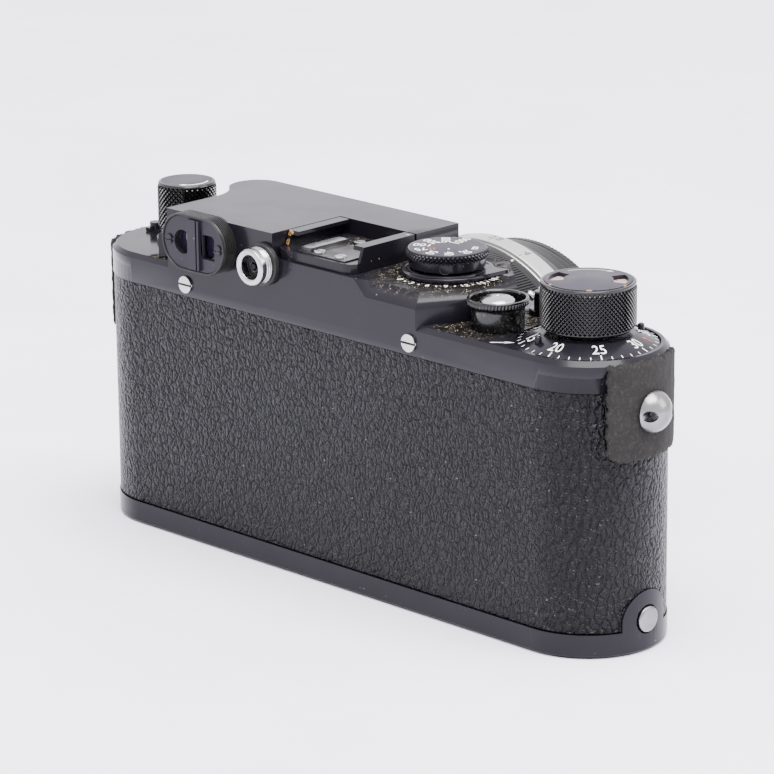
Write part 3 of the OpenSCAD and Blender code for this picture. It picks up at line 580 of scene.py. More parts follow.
def knurl(bm, place_at, r, z0, z1, around, depth, finer=3, flat=0.66):
    """Adds a band of cut diamonds whose tips take the second material, which paints them bright as glints and
    wear.
    """
    pitch = 2 * math.pi * r / around
    rows = max(1, round((z1 - z0) / pitch)) * 2 * finer
    columns = around * 2 * finer
    grid, crowns = [], []
    for j in range(rows + 1):
        fade = min(1.0, j / (1.2 * finer), (rows - j) / (1.2 * finer))
        ring, crown = [], []
        for i in range(columns):
            a, b = (i + j) / (2 * finer), (i - j) / (2 * finer)
            height = min(1 - abs(2 * (a % 1) - 1), 1 - abs(2 * (b % 1) - 1), flat) / flat
            crown.append(height * fade > 0.98)
            reach = r - depth * (1 - height * fade)
            spot = Vector((*circle(reach, 2 * math.pi * i / columns), z0 + (z1 - z0) * j / rows))
            ring.append(bm.verts.new(place_at @ spot))
        grid.append(ring)
        crowns.append(crown)
    for j in range(rows):
        for i in range(columns):
            n = (i + 1) % columns
            low_a, low_b, top_b, top_a = grid[j][i], grid[j][n], grid[j + 1][n], grid[j + 1][i]
            if (i // finer + j // finer) % 2 == 0:
                pair = (bm.faces.new((low_a, low_b, top_b)), bm.faces.new((low_a, top_b, top_a)))
            else:
                pair = (bm.faces.new((low_a, low_b, top_a)), bm.faces.new((low_b, top_b, top_a)))
            # faces at the diamond crowns get the material with painted glints
            wear_and_glint = crowns[j][i] + crowns[j][n] + crowns[j + 1][i] + crowns[j + 1][n]
            for face in pair:
                face.material_index = 1 if wear_and_glint >= 3 else 0
    return bm


def prism(bm, place_at, outline, z0, z1):
    """Adds a closed prism over an outline of (x, y) points."""
    bottom = [bm.verts.new(place_at @ Vector((x, y, z0))) for x, y in outline]
    top = [bm.verts.new(place_at @ Vector((x, y, z1))) for x, y in outline]
    bm.faces.new(bottom[::-1])
    bm.faces.new(top)
    for k in range(len(outline)):
        n = (k + 1) % len(outline)
        bm.faces.new((bottom[k], bottom[n], top[n], top[k]))
    return bm


def soften(bm, width, segments=2, angle=30):
    """Rounds every sharp edge of a bmesh in place."""
    edges = [e for e in bm.edges if len(e.link_faces) == 2 and e.calc_face_angle(0) > math.radians(angle)]
    bmesh.ops.bevel(bm, geom=edges, offset=width, segments=segments, affect="EDGES", clamp_overlap=True)
    return bm


def arc(cx, cy, r, start, end, steps):
    """Points along an arc, with angles in degrees."""
    angles = [math.radians(start + (end - start) * k / steps) for k in range(steps + 1)]
    return [(cx + r * math.cos(a), cy + r * math.sin(a)) for a in angles]


def oblong(w, h, steps=20):
    side = (w - h) / 2
    return arc(side, 0, h / 2, -90, 90, steps) + arc(-side, 0, h / 2, 90, 270, steps)


# ---- figures, ticks and lines, laid flat as (u, v) and bent onto a surface ----

def glyphs(text, size):
    """Flat vertices and faces of a text, centred on its own middle."""
    curve = bpy.data.curves.new("glyphs", "FONT")
    curve.body = text
    curve.size = size * 1.4
    curve.align_x = "CENTER"
    curve.align_y = "CENTER"
    curve.resolution_u = 4
    holder = bpy.data.objects.new("glyphs", curve)
    bpy.context.scene.collection.objects.link(holder)
    mesh = bpy.data.meshes.new_from_object(holder.evaluated_get(bpy.context.evaluated_depsgraph_get()))
    points = [(v.co.x, v.co.y) for v in mesh.vertices]
    faces = [list(p.vertices) for p in mesh.polygons]
    bpy.data.objects.remove(holder)
    bpy.data.curves.remove(curve)
    bpy.data.meshes.remove(mesh)
    return points, faces


def write(bm, surface, text, size, u, v, turn=0.0):
    points, faces = glyphs(text, size)
    c, s = math.cos(turn), math.sin(turn)
    verts = [bm.verts.new(surface(u + x * c - y * s, v + x * s + y * c)) for x, y in points]
    for face in faces:
        bm.faces.new([verts[i] for i in face])


def write_round(bm, surface, text, size, reach, a, turn=math.pi / 2):
    """Text at angle a of a circle; with the usual turn its top is towards the middle."""
    write(bm, surface, text, size, *circle(reach, a), a + turn)


def stroke(bm, surface, path, width):
    """A line of even width through flat points."""
    left, right = [], []
    for k, (x, y) in enumerate(path):
        before, after = path[max(0, k - 1)], path[min(len(path) - 1, k + 1)]
        along = Vector((after[0] - before[0], after[1] - before[1])).normalized() * (width / 2)
        left.append(bm.verts.new(surface(x - along.y, y + along.x)))
        right.append(bm.verts.new(surface(x + along.y, y - along.x)))
    for k in range(len(path) - 1):
        bm.faces.new((right[k], right[k + 1], left[k + 1], left[k]))


def blob(bm, surface, u, v, r, steps=14):
    bm.faces.new([bm.verts.new(surface(u + r * math.cos(2 * math.pi * k / steps),
                                       v + r * math.sin(2 * math.pi * k / steps))) for k in range(steps)])


def arrow_head(bm, surface, tip, tail, width):
    """A filled triangle from the tail's width to the tip."""
    along = Vector((tip[0] - tail[0], tip[1] - tail[1])).normalized() * (width / 2)
    corners = [(tail[0] - along.y, tail[1] + along.x), (tail[0] + along.y, tail[1] - along.x), tip]
    bm.faces.new([bm.verts.new(surface(*c)) for c in corners])


def flat_on(place_at, z):
    """Surface for marks on a flat face at height z of a frame."""
    return lambda u, v: place_at @ Vector((u, v, z))


def round_on(place_at, r0, z0, r1, z1, lift=0.02):
    """Surface for marks on a cone or cylinder.

    u is the angle in radians times r0, and v the way up from (r0, z0).
    """
    slope = Vector((r1 - r0, z1 - z0)).normalized()
    out = Vector((slope.y, -slope.x)) * lift

    def surface(u, v):
        r, z = r0 + slope.x * v + out.x, z0 + slope.y * v + out.y
        return place_at @ Vector((*circle(r, u / r0), z))
    return surface


# ---- casing ----

def cover_edges(edge):
    """How much of the full rounding each edge of the top cover takes."""
    mid = (edge.verts[0].co + edge.verts[1].co) / 2 / MM
    steep = abs((edge.verts[0].co - edge.verts[1].co).normalized().z) > 0.85
    outside = abs(mid.y) > COVER_R - 0.02 or abs(mid.x) > END_X + COVER_R - 0.02
    by_shoe = SHOE_LOW.x - 0.5 < mid.x < SHOE_HIGH.x + 0.5 and mid.y > SHOE_LOW.y - 0.5
    if mid.z < DECK_Z - 2:
        return 0.2 if abs(mid.z - SEAM_Z - 1) < 0.05 and not steep else 0.0
    for spot in (WIND, RELEASE, REVERSE, REWIND):
        if math.hypot(mid.x - spot.x, mid.y - spot.y) < 4.2 and mid.z < MID_Z - 1:
            return 0.0
    if math.hypot(mid.x - SPEED.x, mid.y - SPEED.y) < 4:
        return 0.0
    if math.hypot(mid.x - WIND.x, mid.y - WIND.y) < 13.3:
        return 0.12
    if by_shoe:
        return 0.4
    if abs(mid.z - TOP_Z) < 0.02:
        return 1.0
    if abs(mid.z - MID_Z) < 0.02:
        return 0.8
    if steep and mid.z > DECK_Z:
        return 1.0 if outside else 0.8
    if abs(mid.z - SHOULDER_Z) < 0.2:
        return 0.9
    if mid.z > DECK_Z - 1:
        return 0.6 if abs(mid.z - DECK_Z) < 1.0 else 0.0
    return 0.0


def build_casing():
    softened("top_cover_pressing", "top_cover", "enamel", 0.75, 4, 25, cover_edges)
    softened("base_plate_pressing", "base_plate", "plain_enamel", 0.22, 3)
    softened("lock_key_plate", "lock_key", "chrome", 0.12)
    softened("lock_key_bow", "key_bow", "chrome", 0.12)
    paint("vulcanite", "covering")
    paint("shell", "body_shell")
    paint("steel", "carrier_plate")
    paint("brass", "tripod_bush")
    softened("cover_screw_heads", "cover_screws", "screw", 0.08)
    # painted shade: dark strips in the cover screws' slots stand for dirt and the shade inside them
    slot_shade_and_dirt = bmesh.new()
    height = (low("cover_screws").z + high("cover_screws").z) / 2
    for side in (-1, 1):
        spots = sorted(v.co.x / MM for v in NODES["cover_screws"].data.vertices if v.co.y * side > 0)
        gaps = [k for k in range(1, len(spots)) if spots[k] - spots[k - 1] > 4]
        starts, ends = [0] + gaps, gaps + [len(spots)]
        face = side * (high("cover_screws").y - SLOT_DEPTH + 0.04)
        for start, end in zip(starts, ends):
            first, last = spots[start], spots[end - 1]
            path = [(first + 0.1, height), (last - 0.1, height)]
            stroke(slot_shade_and_dirt, lambda u, v, y=face: Vector((u, y, v)), path, 0.39)
    detail("cover_screw_slot_shade_and_dirt", slot_shade_and_dirt, "soot", "cover_screws")


# ---- leather guards under the strap lugs ----

def guard_point(side, s, t, lift):
    """Point of the guard bent round one end: s along the arc, t the height, lift off the covering."""
    r = BODY_R + lift
    a = s / BODY_R
    return Vector((side * (END_X + r * math.cos(a)), r * math.sin(a), t))


def build_guard(name, source, side, seed):
    rng = random.Random(seed)
    bottom, top = low(source).z, high(source).z
    half_arc = BODY_R * math.asin(high(source).y / (BODY_R + 1))
    thick = abs(high(source).x if side > 0 else low(source).x) - END_X - BODY_R - 0.12
    columns, rows, corner = 72, 72, 2.6
    phase = [rng.uniform(0, 6.28) for _ in range(12)]

    def ragged(t, k):
        return (0.16 * math.sin(t * 1.9 + phase[k]) + 0.1 * math.sin(t * 4.3 + phase[k + 1])
                + 0.05 * math.sin(t * 9.7 + phase[k + 2]))

    def outline(u, v):
        s, t = (2 * u - 1) * half_arc, bottom + (top - bottom) * v
        cut = corner if v < 0.5 else 0.7
        ds, dt = abs(s) - (half_arc - cut), (bottom + cut - t) if v < 0.5 else (t - (top - cut))
        if ds > 0 and dt > 0:
            reach = max(ds, dt) / math.hypot(ds, dt)
            s -= math.copysign(ds * (1 - reach), s)
            t += dt * (1 - reach) * (1 if v < 0.5 else -1)
        s += math.copysign(max(0, abs(2 * u - 1) - 0.6) / 0.4, s) * (ragged(t, 0) - 0.35)
        t += (max(0, abs(2 * v - 1) - 0.6) / 0.4) * (ragged(s, 4) - 0.4) * (1 if v > 0.5 else -1)
        return s, t

    bm = bmesh.new()
    layers = []
    for outer in (True, False):
        grid = []
        for j in range(rows + 1):
            line = []
            for i in range(columns + 1):
                u, v = i / columns, j / rows
                s, t = outline(u, v)
                edge = min(u, 1 - u, v, 1 - v)
                crown = min(1.0, edge / 0.05) ** 0.5
                swell = 0.07 * math.sin(s * 1.3 + phase[8]) * math.sin(t * 0.9 + phase[9])
                lift = 0.25 + (thick - 0.25) * (0.62 + 0.38 * crown) + swell if outer else 0.25
                line.append(bm.verts.new(guard_point(side, s, t, min(lift, thick))))
            grid.append(line)
        layers.append(grid)
    front, back = layers
    for j in range(rows):
        for i in range(columns):
            bm.faces.new((front[j][i], front[j][i + 1], front[j + 1][i + 1], front[j + 1][i]))
            bm.faces.new((back[j][i], back[j + 1][i], back[j + 1][i + 1], back[j][i + 1]))
    rim = [(0, i) for i in range(columns)] + [(j, columns) for j in range(rows)]
    rim += [(rows, i) for i in range(columns, 0, -1)] + [(j, 0) for j in range(rows, 0, -1)]
    for k, (j, i) in enumerate(rim):
        jj, ii = rim[(k + 1) % len(rim)]
        bm.faces.new((front[j][i], back[j][i], back[jj][ii], front[jj][ii]))
    bmesh.ops.recalc_face_normals(bm, faces=bm.faces)
    guard = stand_in(name, bm, "leather", source, sharp=0)
    fray = bmesh.new()
    for _ in range(520):
        k = rng.randrange(len(rim))
        j, i = rim[k]
        s, t = outline(i / columns, j / rows)
        away = Vector((i / columns - 0.5, j / rows - 0.5))
        if abs(away.x) > abs(away.y):
            away = Vector((math.copysign(1, away.x), 0))
        else:
            away = Vector((0, math.copysign(1, away.y)))
        swing = Vector((rng.gauss(0, 0.7), rng.gauss(0, 0.7))) + away
        length = rng.uniform(0.2, 0.75) * (1.25 if j == rows else 0.8)
        lift = rng.uniform(0.3, thick)
        tip_lift = min(thick, max(0.15, lift + rng.gauss(0, 0.25)))
        tip = (s + swing.x * length * 0.6, min(t + swing.y * length * 0.6, top))
        width = rng.uniform(0.03, 0.06)
        across = Vector((-swing.y, swing.x)).normalized() * width
        fray.faces.new([fray.verts.new(guard_point(side, s - across.x, t - across.y, lift)),
                        fray.verts.new(guard_point(side, s + across.x, t + across.y, lift)),
                        fray.verts.new(guard_point(side, tip[0], tip[1], tip_lift))])
    fibres = detail(name + "_fray", fray, "leather", source, sharp=0)


def build_lugs():
    build_guard("lug_guard_wind_end", "lug_patch_wind_end", -1, 11)
    build_guard("lug_guard_rewind_end", "lug_patch_rewind_end", 1, 23)
    softened("strap_lug_eyes", "strap_lugs", "worn_chrome", 0.3, 3, 35)
    stud = facing_end(-1, (low("base_stud").z + high("base_stud").z) / 2)
    top = -low("base_stud").x - END_X
    head = BODY_R - 0.35
    stand_in("hook_stud", lathe(stud, [(0, head - 1.5), (1.5, head - 1.5), (1.5, head), (2.45, head),
                                       (2.45, top - 0.3), (2.1, top - 0.08), (1.2, top), (0, top)], 0.15, 64),
             "worn_chrome", "base_stud")


# ---- winding side ----

def build_winding():
    at = upright(WIND)
    r, bottom, top = high("wind_knob").x - WIND.x, KNOB_FOOT_Z, high("wind_knob").z
    counter_top = high("counter_dial").z
    bore, recess_r, recess_z, foot = 2.5, 8.02, 65.75, counter_top + 0.3
    bm = lathe(at, [(bore, foot), (5.6, foot), (5.6, bottom), (r - 0.75, bottom), (r - 0.42, bottom + 0.35),
                    (r - 0.42, top - 0.62), (r - 0.08, top - 0.5), (r - 0.08, top - 0.12), (r - 0.3, top),
                    (recess_r, top), (recess_r, recess_z), (bore, recess_z), (bore, foot)], 0.08, 128)
    knurl(bm, at, r, bottom + 0.3, top - 0.5, 62, 0.55)
    stand_in("wind_knob_knurled", bm, ["knurl", "tips"], "wind_knob", sharp=25)

    top = high("wind_knob_cap").z
    cap = bmesh.new()
    # Middle angle, inner and outer radius of the two windows over the film speed disc
    windows = ((25, 4.5, 7.2), (222, 4.5, 7.2))
    half_open, cap_r, arrow_r = 25, 7.95, 6.7
    for k in range(2):
        start, end = windows[k][0] + half_open, windows[1 - k][0] - half_open + (360 if k else 0)
        sector = arc(0, 0, cap_r, start, end, 40) + arc(0, 0, windows[0][1], end, start, 40)
        prism(cap, at, sector, top - 0.6, top)
    for middle, inner, outer in windows:
        ring = arc(0, 0, cap_r, middle - half_open, middle + half_open, 20)
        ring += arc(0, 0, outer, middle + half_open, middle - half_open, 20)
        prism(cap, at, ring, top - 0.6, top)
    prism(cap, at, arc(0, 0, windows[0][1], 0, 351, 39), top - 0.6, top)
    stand_in("wind_knob_cap_plate", cap, "cap_enamel", "wind_knob_cap", sharp=30)
    engraving = bmesh.new()
    face = flat_on(at, top + 0.012)
    stroke(engraving, face, arc(0, 0, arrow_r, -15, -80, 24), 0.26)
    arrow_head(engraving, face, circle(arrow_r, math.radians(-92)), circle(arrow_r, math.radians(-80)), 1.1)
    detail("wind_arrow", engraving, "gold", "wind_knob_cap")
    reminder = bmesh.new()
    disc = flat_on(at, high("film_speed_disc").z + 0.012)
    for k, label in enumerate(("10", "25", "50", "100", "200", "400", "32", "80")):
        a = math.radians(25 + 45 * k)
        write_round(reminder, disc, label, 0.9, 5.4, a)
    detail("film_speed_figures", reminder, "red", "film_speed_disc")

    r, rim, top = high("counter_dial").x - WIND.x, COUNTER_RIM_Z, high("counter_dial").z
    bore, under = 2.8, rim - 0.7
    bm = lathe(at, [(bore, under), (r - 0.1, under), (r, rim - 0.6), (r, rim - 0.05), (COUNTER_CONE_R, top),
                    (bore, top), (bore, under)], 0.09, 160)
    stand_in("counter_cone", bm, "dial_enamel", "counter_dial")
    cone = round_on(at, r, rim, COUNTER_CONE_R, top)
    marks, red = bmesh.new(), bmesh.new()
    # Figure 20 faces the back of the camera, and a count is 9 degrees
    index_angle, step = 98, 9
    for count in range(40):
        u = math.radians(index_angle + (count - 20) * step) * r
        long = count % 5 == 0
        stroke(marks, cone, [(u, 0.25), (u, 1.5 if long else 0.95)], 0.24 if long else 0.16)
        if long:
            write(marks, cone, str(count), 2.5, u, 2.95)
    u = math.radians(index_angle + 12.5 * step) * r
    blob(red, cone, u, 2.9, 0.42)
    stroke(red, cone, [(u, 1.3), (u, 2.9)], 0.2)
    detail("counter_figures", marks, "white", "counter_dial")
    detail("counter_red_mark", red, "red", "counter_dial")
    pins = bmesh.new()
    for a in COUNTER_PINS:
        spot = WIND + PIN_RING_R * Vector((*circle(1, math.radians(a)), 0))
        lathe(upright(spot), [(0, 55.2), (0.62, 55.2), (0.62, 57.75), (0.3, 58), (0, 58)], 0.12, 28, bm=pins)
    stand_in("counter_setting_pins", pins, "plain_enamel", "counter_posts")
    deck = bmesh.new()
    plane = flat_on(Matrix.Identity(4), DECK_Z + 0.01)
    stroke(deck, plane, [(-41.6, 13.2), (-44.0, 11.2)], 0.3)
    arrow_head(deck, plane, (-45.0, 10.3), (-43.6, 11.5), 1.0)
    detail("counter_index", deck, "white", "top_cover")


def build_release():
    at = upright(RELEASE)
    low_z, top = low("release_button").z, high("release_button").z
    hole, stem, head_z = 0.42, 2.15, 59.6
    bm = lathe(at, [(0, low_z), (stem, low_z), (stem, head_z), (3.1, head_z), (3.35, 59.9), (3.35, 60.6),
                    (3.1, 61.15), (2.4, 61.55), (1.2, top - 0.02), (hole + 0.15, top), (hole, top - 0.25),
                    (hole, 59), (0, 59)], 0.25, 72)
    stand_in("release_mushroom", bm, "chrome", "release_button", sharp=50)
    r, top = high("release_guard").x - RELEASE.x, high("release_guard").z

    def milled(a, reach, z):
        notch = 0.5 + 0.5 * math.cos(54 * a)
        return reach - (0.16 * notch ** 2 if 60.4 < z < top - 0.3 and reach > 5.5 else 0)

    bore, cup_r, cup_z = 3.6, 4.95, 59.6
    bm = lathe(at, [(bore, DECK_Z), (4.9, DECK_Z), (4.9, 59.5), (5.0, 59.9), (r - 0.25, 60.35), (r, 60.5),
                    (r, top - 0.45), (r - 0.12, top - 0.38), (r - 0.05, top - 0.2), (r - 0.2, top),
                    (5.2, top), (cup_r, top - 0.3), (cup_r, cup_z), (bore, cup_z), (bore, DECK_Z)],
               0.1, 324, milled)
    stand_in("release_collar", bm, "worn_knurl", "release_guard")
    paint("steel", "release_spring")


def build_reversing():
    z0, top = low("reversing_lever").z, high("reversing_lever").z
    post = REVERSE + Vector((-0.9, 1.3, 0))
    bm = lathe(upright(REVERSE), [(0, z0), (1.25, z0), (1.25, 55.86), (2.6, 55.86), (2.6, 56.8), (2.2, 57),
                                  (0, 57)], 0.12, 48)

    def ribs(a, r, z):
        return r - (0.12 * (0.5 + 0.5 * math.cos(18 * a)) if r > 1.3 and z < top - 0.3 else 0)

    profile = [(0, 56.9), (1.45, 56.9), (1.45, top - 0.2), (1.2, top), (0, top)]
    lathe(upright(post), profile, 0.08, 72, ribs, bm)
    stand_in("reversing_post", bm, "knurl", "reversing_lever")
    out = Vector((math.cos(math.radians(30)), math.sin(math.radians(30)), 0)) * 0.866 + Vector((0, 0, 0.5))
    side = Vector((0, 0, 1)).cross(out).normalized()
    tip = axes((REVERSE.x + 0.2, REVERSE.y + 2, 59.2), side, out.cross(side), out)
    detail("reversing_pin", lathe(tip, [(0, 0), (0.78, 0), (0.8, 1.35), (0.5, 1.66), (0, 1.68)], 0.15, 32),
           "chrome", "reversing_lever")


# ---- speed dial and flash delay scale ----

def build_speed_dial():
    at = upright(SPEED)
    r, top = high("speed_dial").x - SPEED.x, high("speed_dial").z
    bm = lathe(at, [(3.06, 63.5), (6.95, 63.5), (7.15, 63.65), (7.15, 65.3), (r - 0.42, 65.4),
                    (r - 0.42, top - 0.35), (r - 0.38, top - 0.05), (r - 0.9, top), (2.0, top), (0, top)],
               0.08, 128)
    knurl(bm, at, r, 65.25, top - 0.05, 56, 0.36)
    stand_in("speed_dial_knurled", bm, ["dial_enamel", "tips"], "speed_dial", sharp=25)
    disc = lathe(at, [(r - 0.75, top - 0.1), (r - 0.72, top), (0, top + 0.004)], 0.04, 96)
    detail("speed_dial_face", disc, "cap_enamel", "speed_dial")
    face = flat_on(at, top + 0.02)
    white, red = bmesh.new(), bmesh.new()
    for k, label in enumerate(("1000", "500", "200", "100", "75", "50", "40", "30", "B")):
        a = math.radians(-80 + 36 * k)
        reach = 4.7 if len(label) > 2 else 5.3
        write_round(white, face, label, 1.8, reach, a, 0)
    stroke(red, face, [(1.0, 2.4), (0.2, 3.4), (1.3, 3.0), (0.5, 4.1)], 0.24)
    blob(white, face, -1.5, 1.2, 0.22)
    detail("speed_figures", white, "white", "speed_dial")
    detail("speed_red_mark", red, "red", "speed_dial")
    pivot = Matrix.Translation(Vector((SPEED.x, SPEED.y, 0)))
    turn = pivot @ Matrix.Rotation(math.radians(40), 4, "Z") @ pivot.inverted()
    screw = turn @ facing_back(Vector((SPEED.x, 0, 64.4)))
    bm = lathe(screw, [(0, 6.9), (0.72, 6.9), (0.9, 7.17), (1.02, 7.17), (1.02, 6.6)], 0.04, 32)
    detail("speed_set_screw", bm, "bakelite", "speed_dial")


def build_flash_delay():
    at = upright(SPEED)
    r, bore, foot, lid = 8.8, 3.4, 62.08, 63.1
    ring = lathe(at, [(bore, foot), (r - 0.1, foot), (r, 62.2), (r, 62.75), (r - 0.15, 62.95),
                      (r - 0.7, 63.0), (r - 0.85, 62.8), (r - 1.2, 62.8), (r - 1.35, lid), (bore, lid),
                      (bore, foot)], 0.07, 128)
    arm = bmesh.new()
    outline = arc(11.0, 0, 0.5, -90, 90, 12) + [(9.1, 1.1), (7.3, 3.2), (6.2, 2.0), (6.0, -4.4), (6.9, -5.3)]
    prism(arm, at @ Matrix.Rotation(math.radians(214), 4, "Z"), outline, 62.3, 63.05)
    soften(arm, 0.15, 3)
    arm.to_mesh(bpy.data.meshes.new("arm_source"))
    ring.from_mesh(bpy.data.meshes["arm_source"])
    arm.free()
    stand_in("flash_delay_ring", ring, "plain_enamel", "sync_ring")
    deck = flat_on(at, MID_Z + 0.012)
    scale = bmesh.new()
    scale_r = 9.95
    for k in range(7):
        a = math.radians(72 + 20 * k)
        write_round(scale, deck, str(3 * k), 1.3, scale_r, a)
        blob(scale, deck, *circle(scale_r, a + 0.17), 0.22)
    detail("flash_delay_figures", scale, "worn_white", "top_cover")
    # painted shade: a dark stroke on the deck stands for the shade inside the slot
    slot = bmesh.new()
    stroke(slot, flat_on(Matrix.Identity(4), MID_Z + 0.012), [(-20.7, -10.5), (-21.25, -12.9)], 1.1)
    detail("deck_slot", slot, "soot", "top_cover")


# ---- rewind side ----

def build_rewind():
    at = upright(REWIND)
    r, top = high("rewind_knob").x - REWIND.x, high("rewind_knob").z
    bm = lathe(at, [(2.0, 57.4), (4.1, 57.4), (4.1, 58.2), (r - 0.7, 58.2), (r - 0.5, 58.55),
                    (r - 0.5, top - 0.55), (r - 0.1, top - 0.45), (r - 0.35, top - 0.05), (r - 0.8, top),
                    (0, top)], 0.08, 112)
    knurl(bm, at, r, 58.4, top - 0.35, 34, 0.55)
    stand_in("rewind_knob_knurled", bm, ["knurl", "tips"], "rewind_knob", sharp=25)
    disc = lathe(at, [(r - 0.6, top - 0.1), (r - 0.75, top), (0, top + 0.004)], 0.04, 72)
    detail("rewind_knob_face", disc, "cap_enamel", "rewind_knob")
    arrow = bmesh.new()
    face = flat_on(at, top + 0.02)
    arrow_r = 4.3
    stroke(arrow, face, arc(0, 0, arrow_r, 212, 132, 20), 0.34)
    arrow_head(arrow, face, circle(arrow_r, math.radians(116)), circle(arrow_r, math.radians(134)), 1.1)
    detail("rewind_arrow", arrow, "white", "rewind_knob")
    softened("diopter_blade", "diopter_lever", "plain_enamel", 0.1)


# ---- accessory shoe ----

def build_shoe():
    softened("accessory_shoe_rails", "accessory_shoe", "shoe_enamel", 0.3, 3)
    softened("shoe_spring_leaf", "shoe_spring", "leaf", 0.07)
    bar = bmesh.new()
    leaf_top = high("shoe_spring").z
    outline = [(4.95, 3.5), (5.5, 2.85), (6.9, 2.85), (7.45, 3.5), (7.45, 11.9), (6.9, 12.55), (5.5, 12.55),
               (4.95, 11.9)]
    prism(bar, Matrix.Identity(4), outline, leaf_top - 0.75, leaf_top + 0.05)
    soften(bar, 0.2, 3)
    detail("shoe_spring_bar", bar, "chrome", "shoe_spring")
    softened("shoe_screw_heads", "shoe_screws", "screw", 0.06)


# ---- eyepiece and flash socket ----

def build_eyepiece():
    at = facing_back(EYEPIECE)
    back = high("eyepiece_block").y
    bm = bmesh.new()
    steps = [(8.75, COVER_R - 0.3), (8.75, COVER_R + 0.25)]
    for k in range(6):
        y = COVER_R + 0.3 + 0.42 * k
        steps += [(8.5, y), (8.5, y + 0.14), (8.72, y + 0.18), (8.72, y + 0.36)]
    steps += [(8.6, back - 0.4), (8.68, back - 0.1), (8.6, back), (8.32, back), (8.25, back - 0.1),
              (8.25, COVER_R + 2.5), (5.7, COVER_R + 2.5), (5.7, COVER_R + 0.62)]
    rings = []
    for reach, y in steps:
        shrink = 8.8 - reach
        outline = oblong(17.6 - 2 * shrink, 11.4 - 2 * shrink, 28)
        rings.append([bm.verts.new(at @ Vector((u, v, y))) for u, v in outline])
    for one, two in zip(rings, rings[1:]):
        for k in range(len(one)):
            n = (k + 1) % len(one)
            bm.faces.new((one[k], one[n], two[n], two[k]))
    bm.faces.new(rings[-1])
    stand_in("eyepiece_ring", bm, "bakelite", "eyepiece_block")
    softened("eyepiece_face", "eyepiece_plate", "face_enamel", 0.12)
    softened("eyepiece_screw_heads", "eyepiece_screws", "plain_enamel", 0.05)
    paint("glass", "eyepiece_lenses")


def build_flash_socket():
    at = facing_back(SYNC)
    front = high("sync_socket").y
    crest = 3.55
    profile = [(1.2, 11), (2.6, 11), (2.6, COVER_R + 1.22), (crest, COVER_R + 1.22), (crest, COVER_R + 1.5)]
    for k in range(3):
        y = COVER_R + 1.55 + 0.5 * k
        profile += [(3.35, y), (crest, y + 0.25)]
    profile += [(crest, front - 0.9), (crest, front - 0.3), (3.3, front), (2.6, front), (2.35, front - 0.25),
                (2.35, COVER_R + 1.5), (1.2, COVER_R + 1.4), (1.2, 11)]
    stand_in("flash_socket_ring", lathe(at, profile, 0.07, 96), "chrome", "sync_socket")
    bm = lathe(at, [(2.7, COVER_R), (4.15, COVER_R), (4.15, COVER_R + 0.95), (3.9, COVER_R + 1.2),
                    (2.7, COVER_R + 1.2), (2.7, COVER_R)], 0.1, 72)
    lathe(at, [(0, COVER_R + 0.6), (2.3, COVER_R + 1.5), (2.3, COVER_R + 1.9), (1.5, COVER_R + 1.9),
               (1.4, COVER_R + 1.65), (1.2, COVER_R + 1.65), (1.15, COVER_R + 2.6), (0.85, COVER_R + 2.7),
               (0.8, COVER_R + 2.0), (0, COVER_R + 2.0)], 0.05, 48, bm=bm)
    stand_in("flash_socket_insulator", bm, "bakelite", "sync_insulator")
    # painted shade: the contact pin is coloured near-black for the shade deep inside the socket
    tip = high("sync_insulator").y
    contact = lathe(at, [(0, tip - 1.2), (0.5, tip - 1.2), (0.5, tip - 0.15), (0.35, tip), (0.2, tip),
                         (0.15, tip - 0.2), (0, tip - 0.2)], 0.04, 28)
    detail("flash_socket_contact", contact, "soot", "sync_socket")
    pin = facing_back((low("cover_pin") + high("cover_pin")) / 2)
    bm = lathe(pin, [(0, 12.5), (0.6, 12.5), (0.6, COVER_R), (0.75, COVER_R), (0.75, COVER_R + 0.15),
                     (0.5, COVER_R + 0.25), (0, COVER_R + 0.25)], 0.08, 32)
    stand_in("cover_dot", bm, "screw", "cover_pin")


# ---- front of the body ----

def build_front():
    at = facing_front(SLOW)
    top = -low("slow_speed_dial").y
    bm = lathe(at, [(0, 9.5), (3, 9.5), (3, BODY_R - 0.5), (8.3, BODY_R - 0.5), (8.5, BODY_R - 0.3),
                    (8.5, 15.9), (7.4, 16), (7.4, top - 0.5), (7.3, top - 0.2), (6.6, top - 0.15), (6.5, top),
                    (0, top)], 0.1, 112)
    knurl(bm, at, 7.7, 16.05, top - 0.3, 50, 0.32)
    stand_in("slow_speed_dial_knurled", bm, ["knurl", "tips"], "slow_speed_dial", sharp=25)
    face = flat_on(at, top + 0.012)
    figures = bmesh.new()
    for k, label in enumerate(("30", "20", "15", "10", "4", "2", "1")):
        a = math.radians(90 - 40 * k)
        write_round(figures, face, label, 1.5, 4.9, a, -math.pi / 2)
    blob(figures, face, 0, 0, 0.5)
    detail("slow_speed_figures", figures, "white", "slow_speed_dial")
    softened("lens_mount_ring", "lens_flange", "chrome", 0.15)
    softened("mount_screw_heads", "flange_screws", "screw", 0.06)
    softened("finder_windows", "front_windows", "glass", 0.1)
    frames = bmesh.new()
    for x in (-2.2, 36.4):
        spot = facing_front(Vector((x, 0, 61)))
        lathe(spot, [(2.5, COVER_R - 0.6), (3.9, COVER_R - 0.6), (3.9, COVER_R + 0.03), (3.6, COVER_R + 0.1),
                     (2.9, COVER_R + 0.1), (2.5, COVER_R - 0.25), (2.5, COVER_R - 0.6)], 0.06, 64, bm=frames)
    detail("window_frames", frames, "plain_enamel", "top_cover")


# ---- lens ----

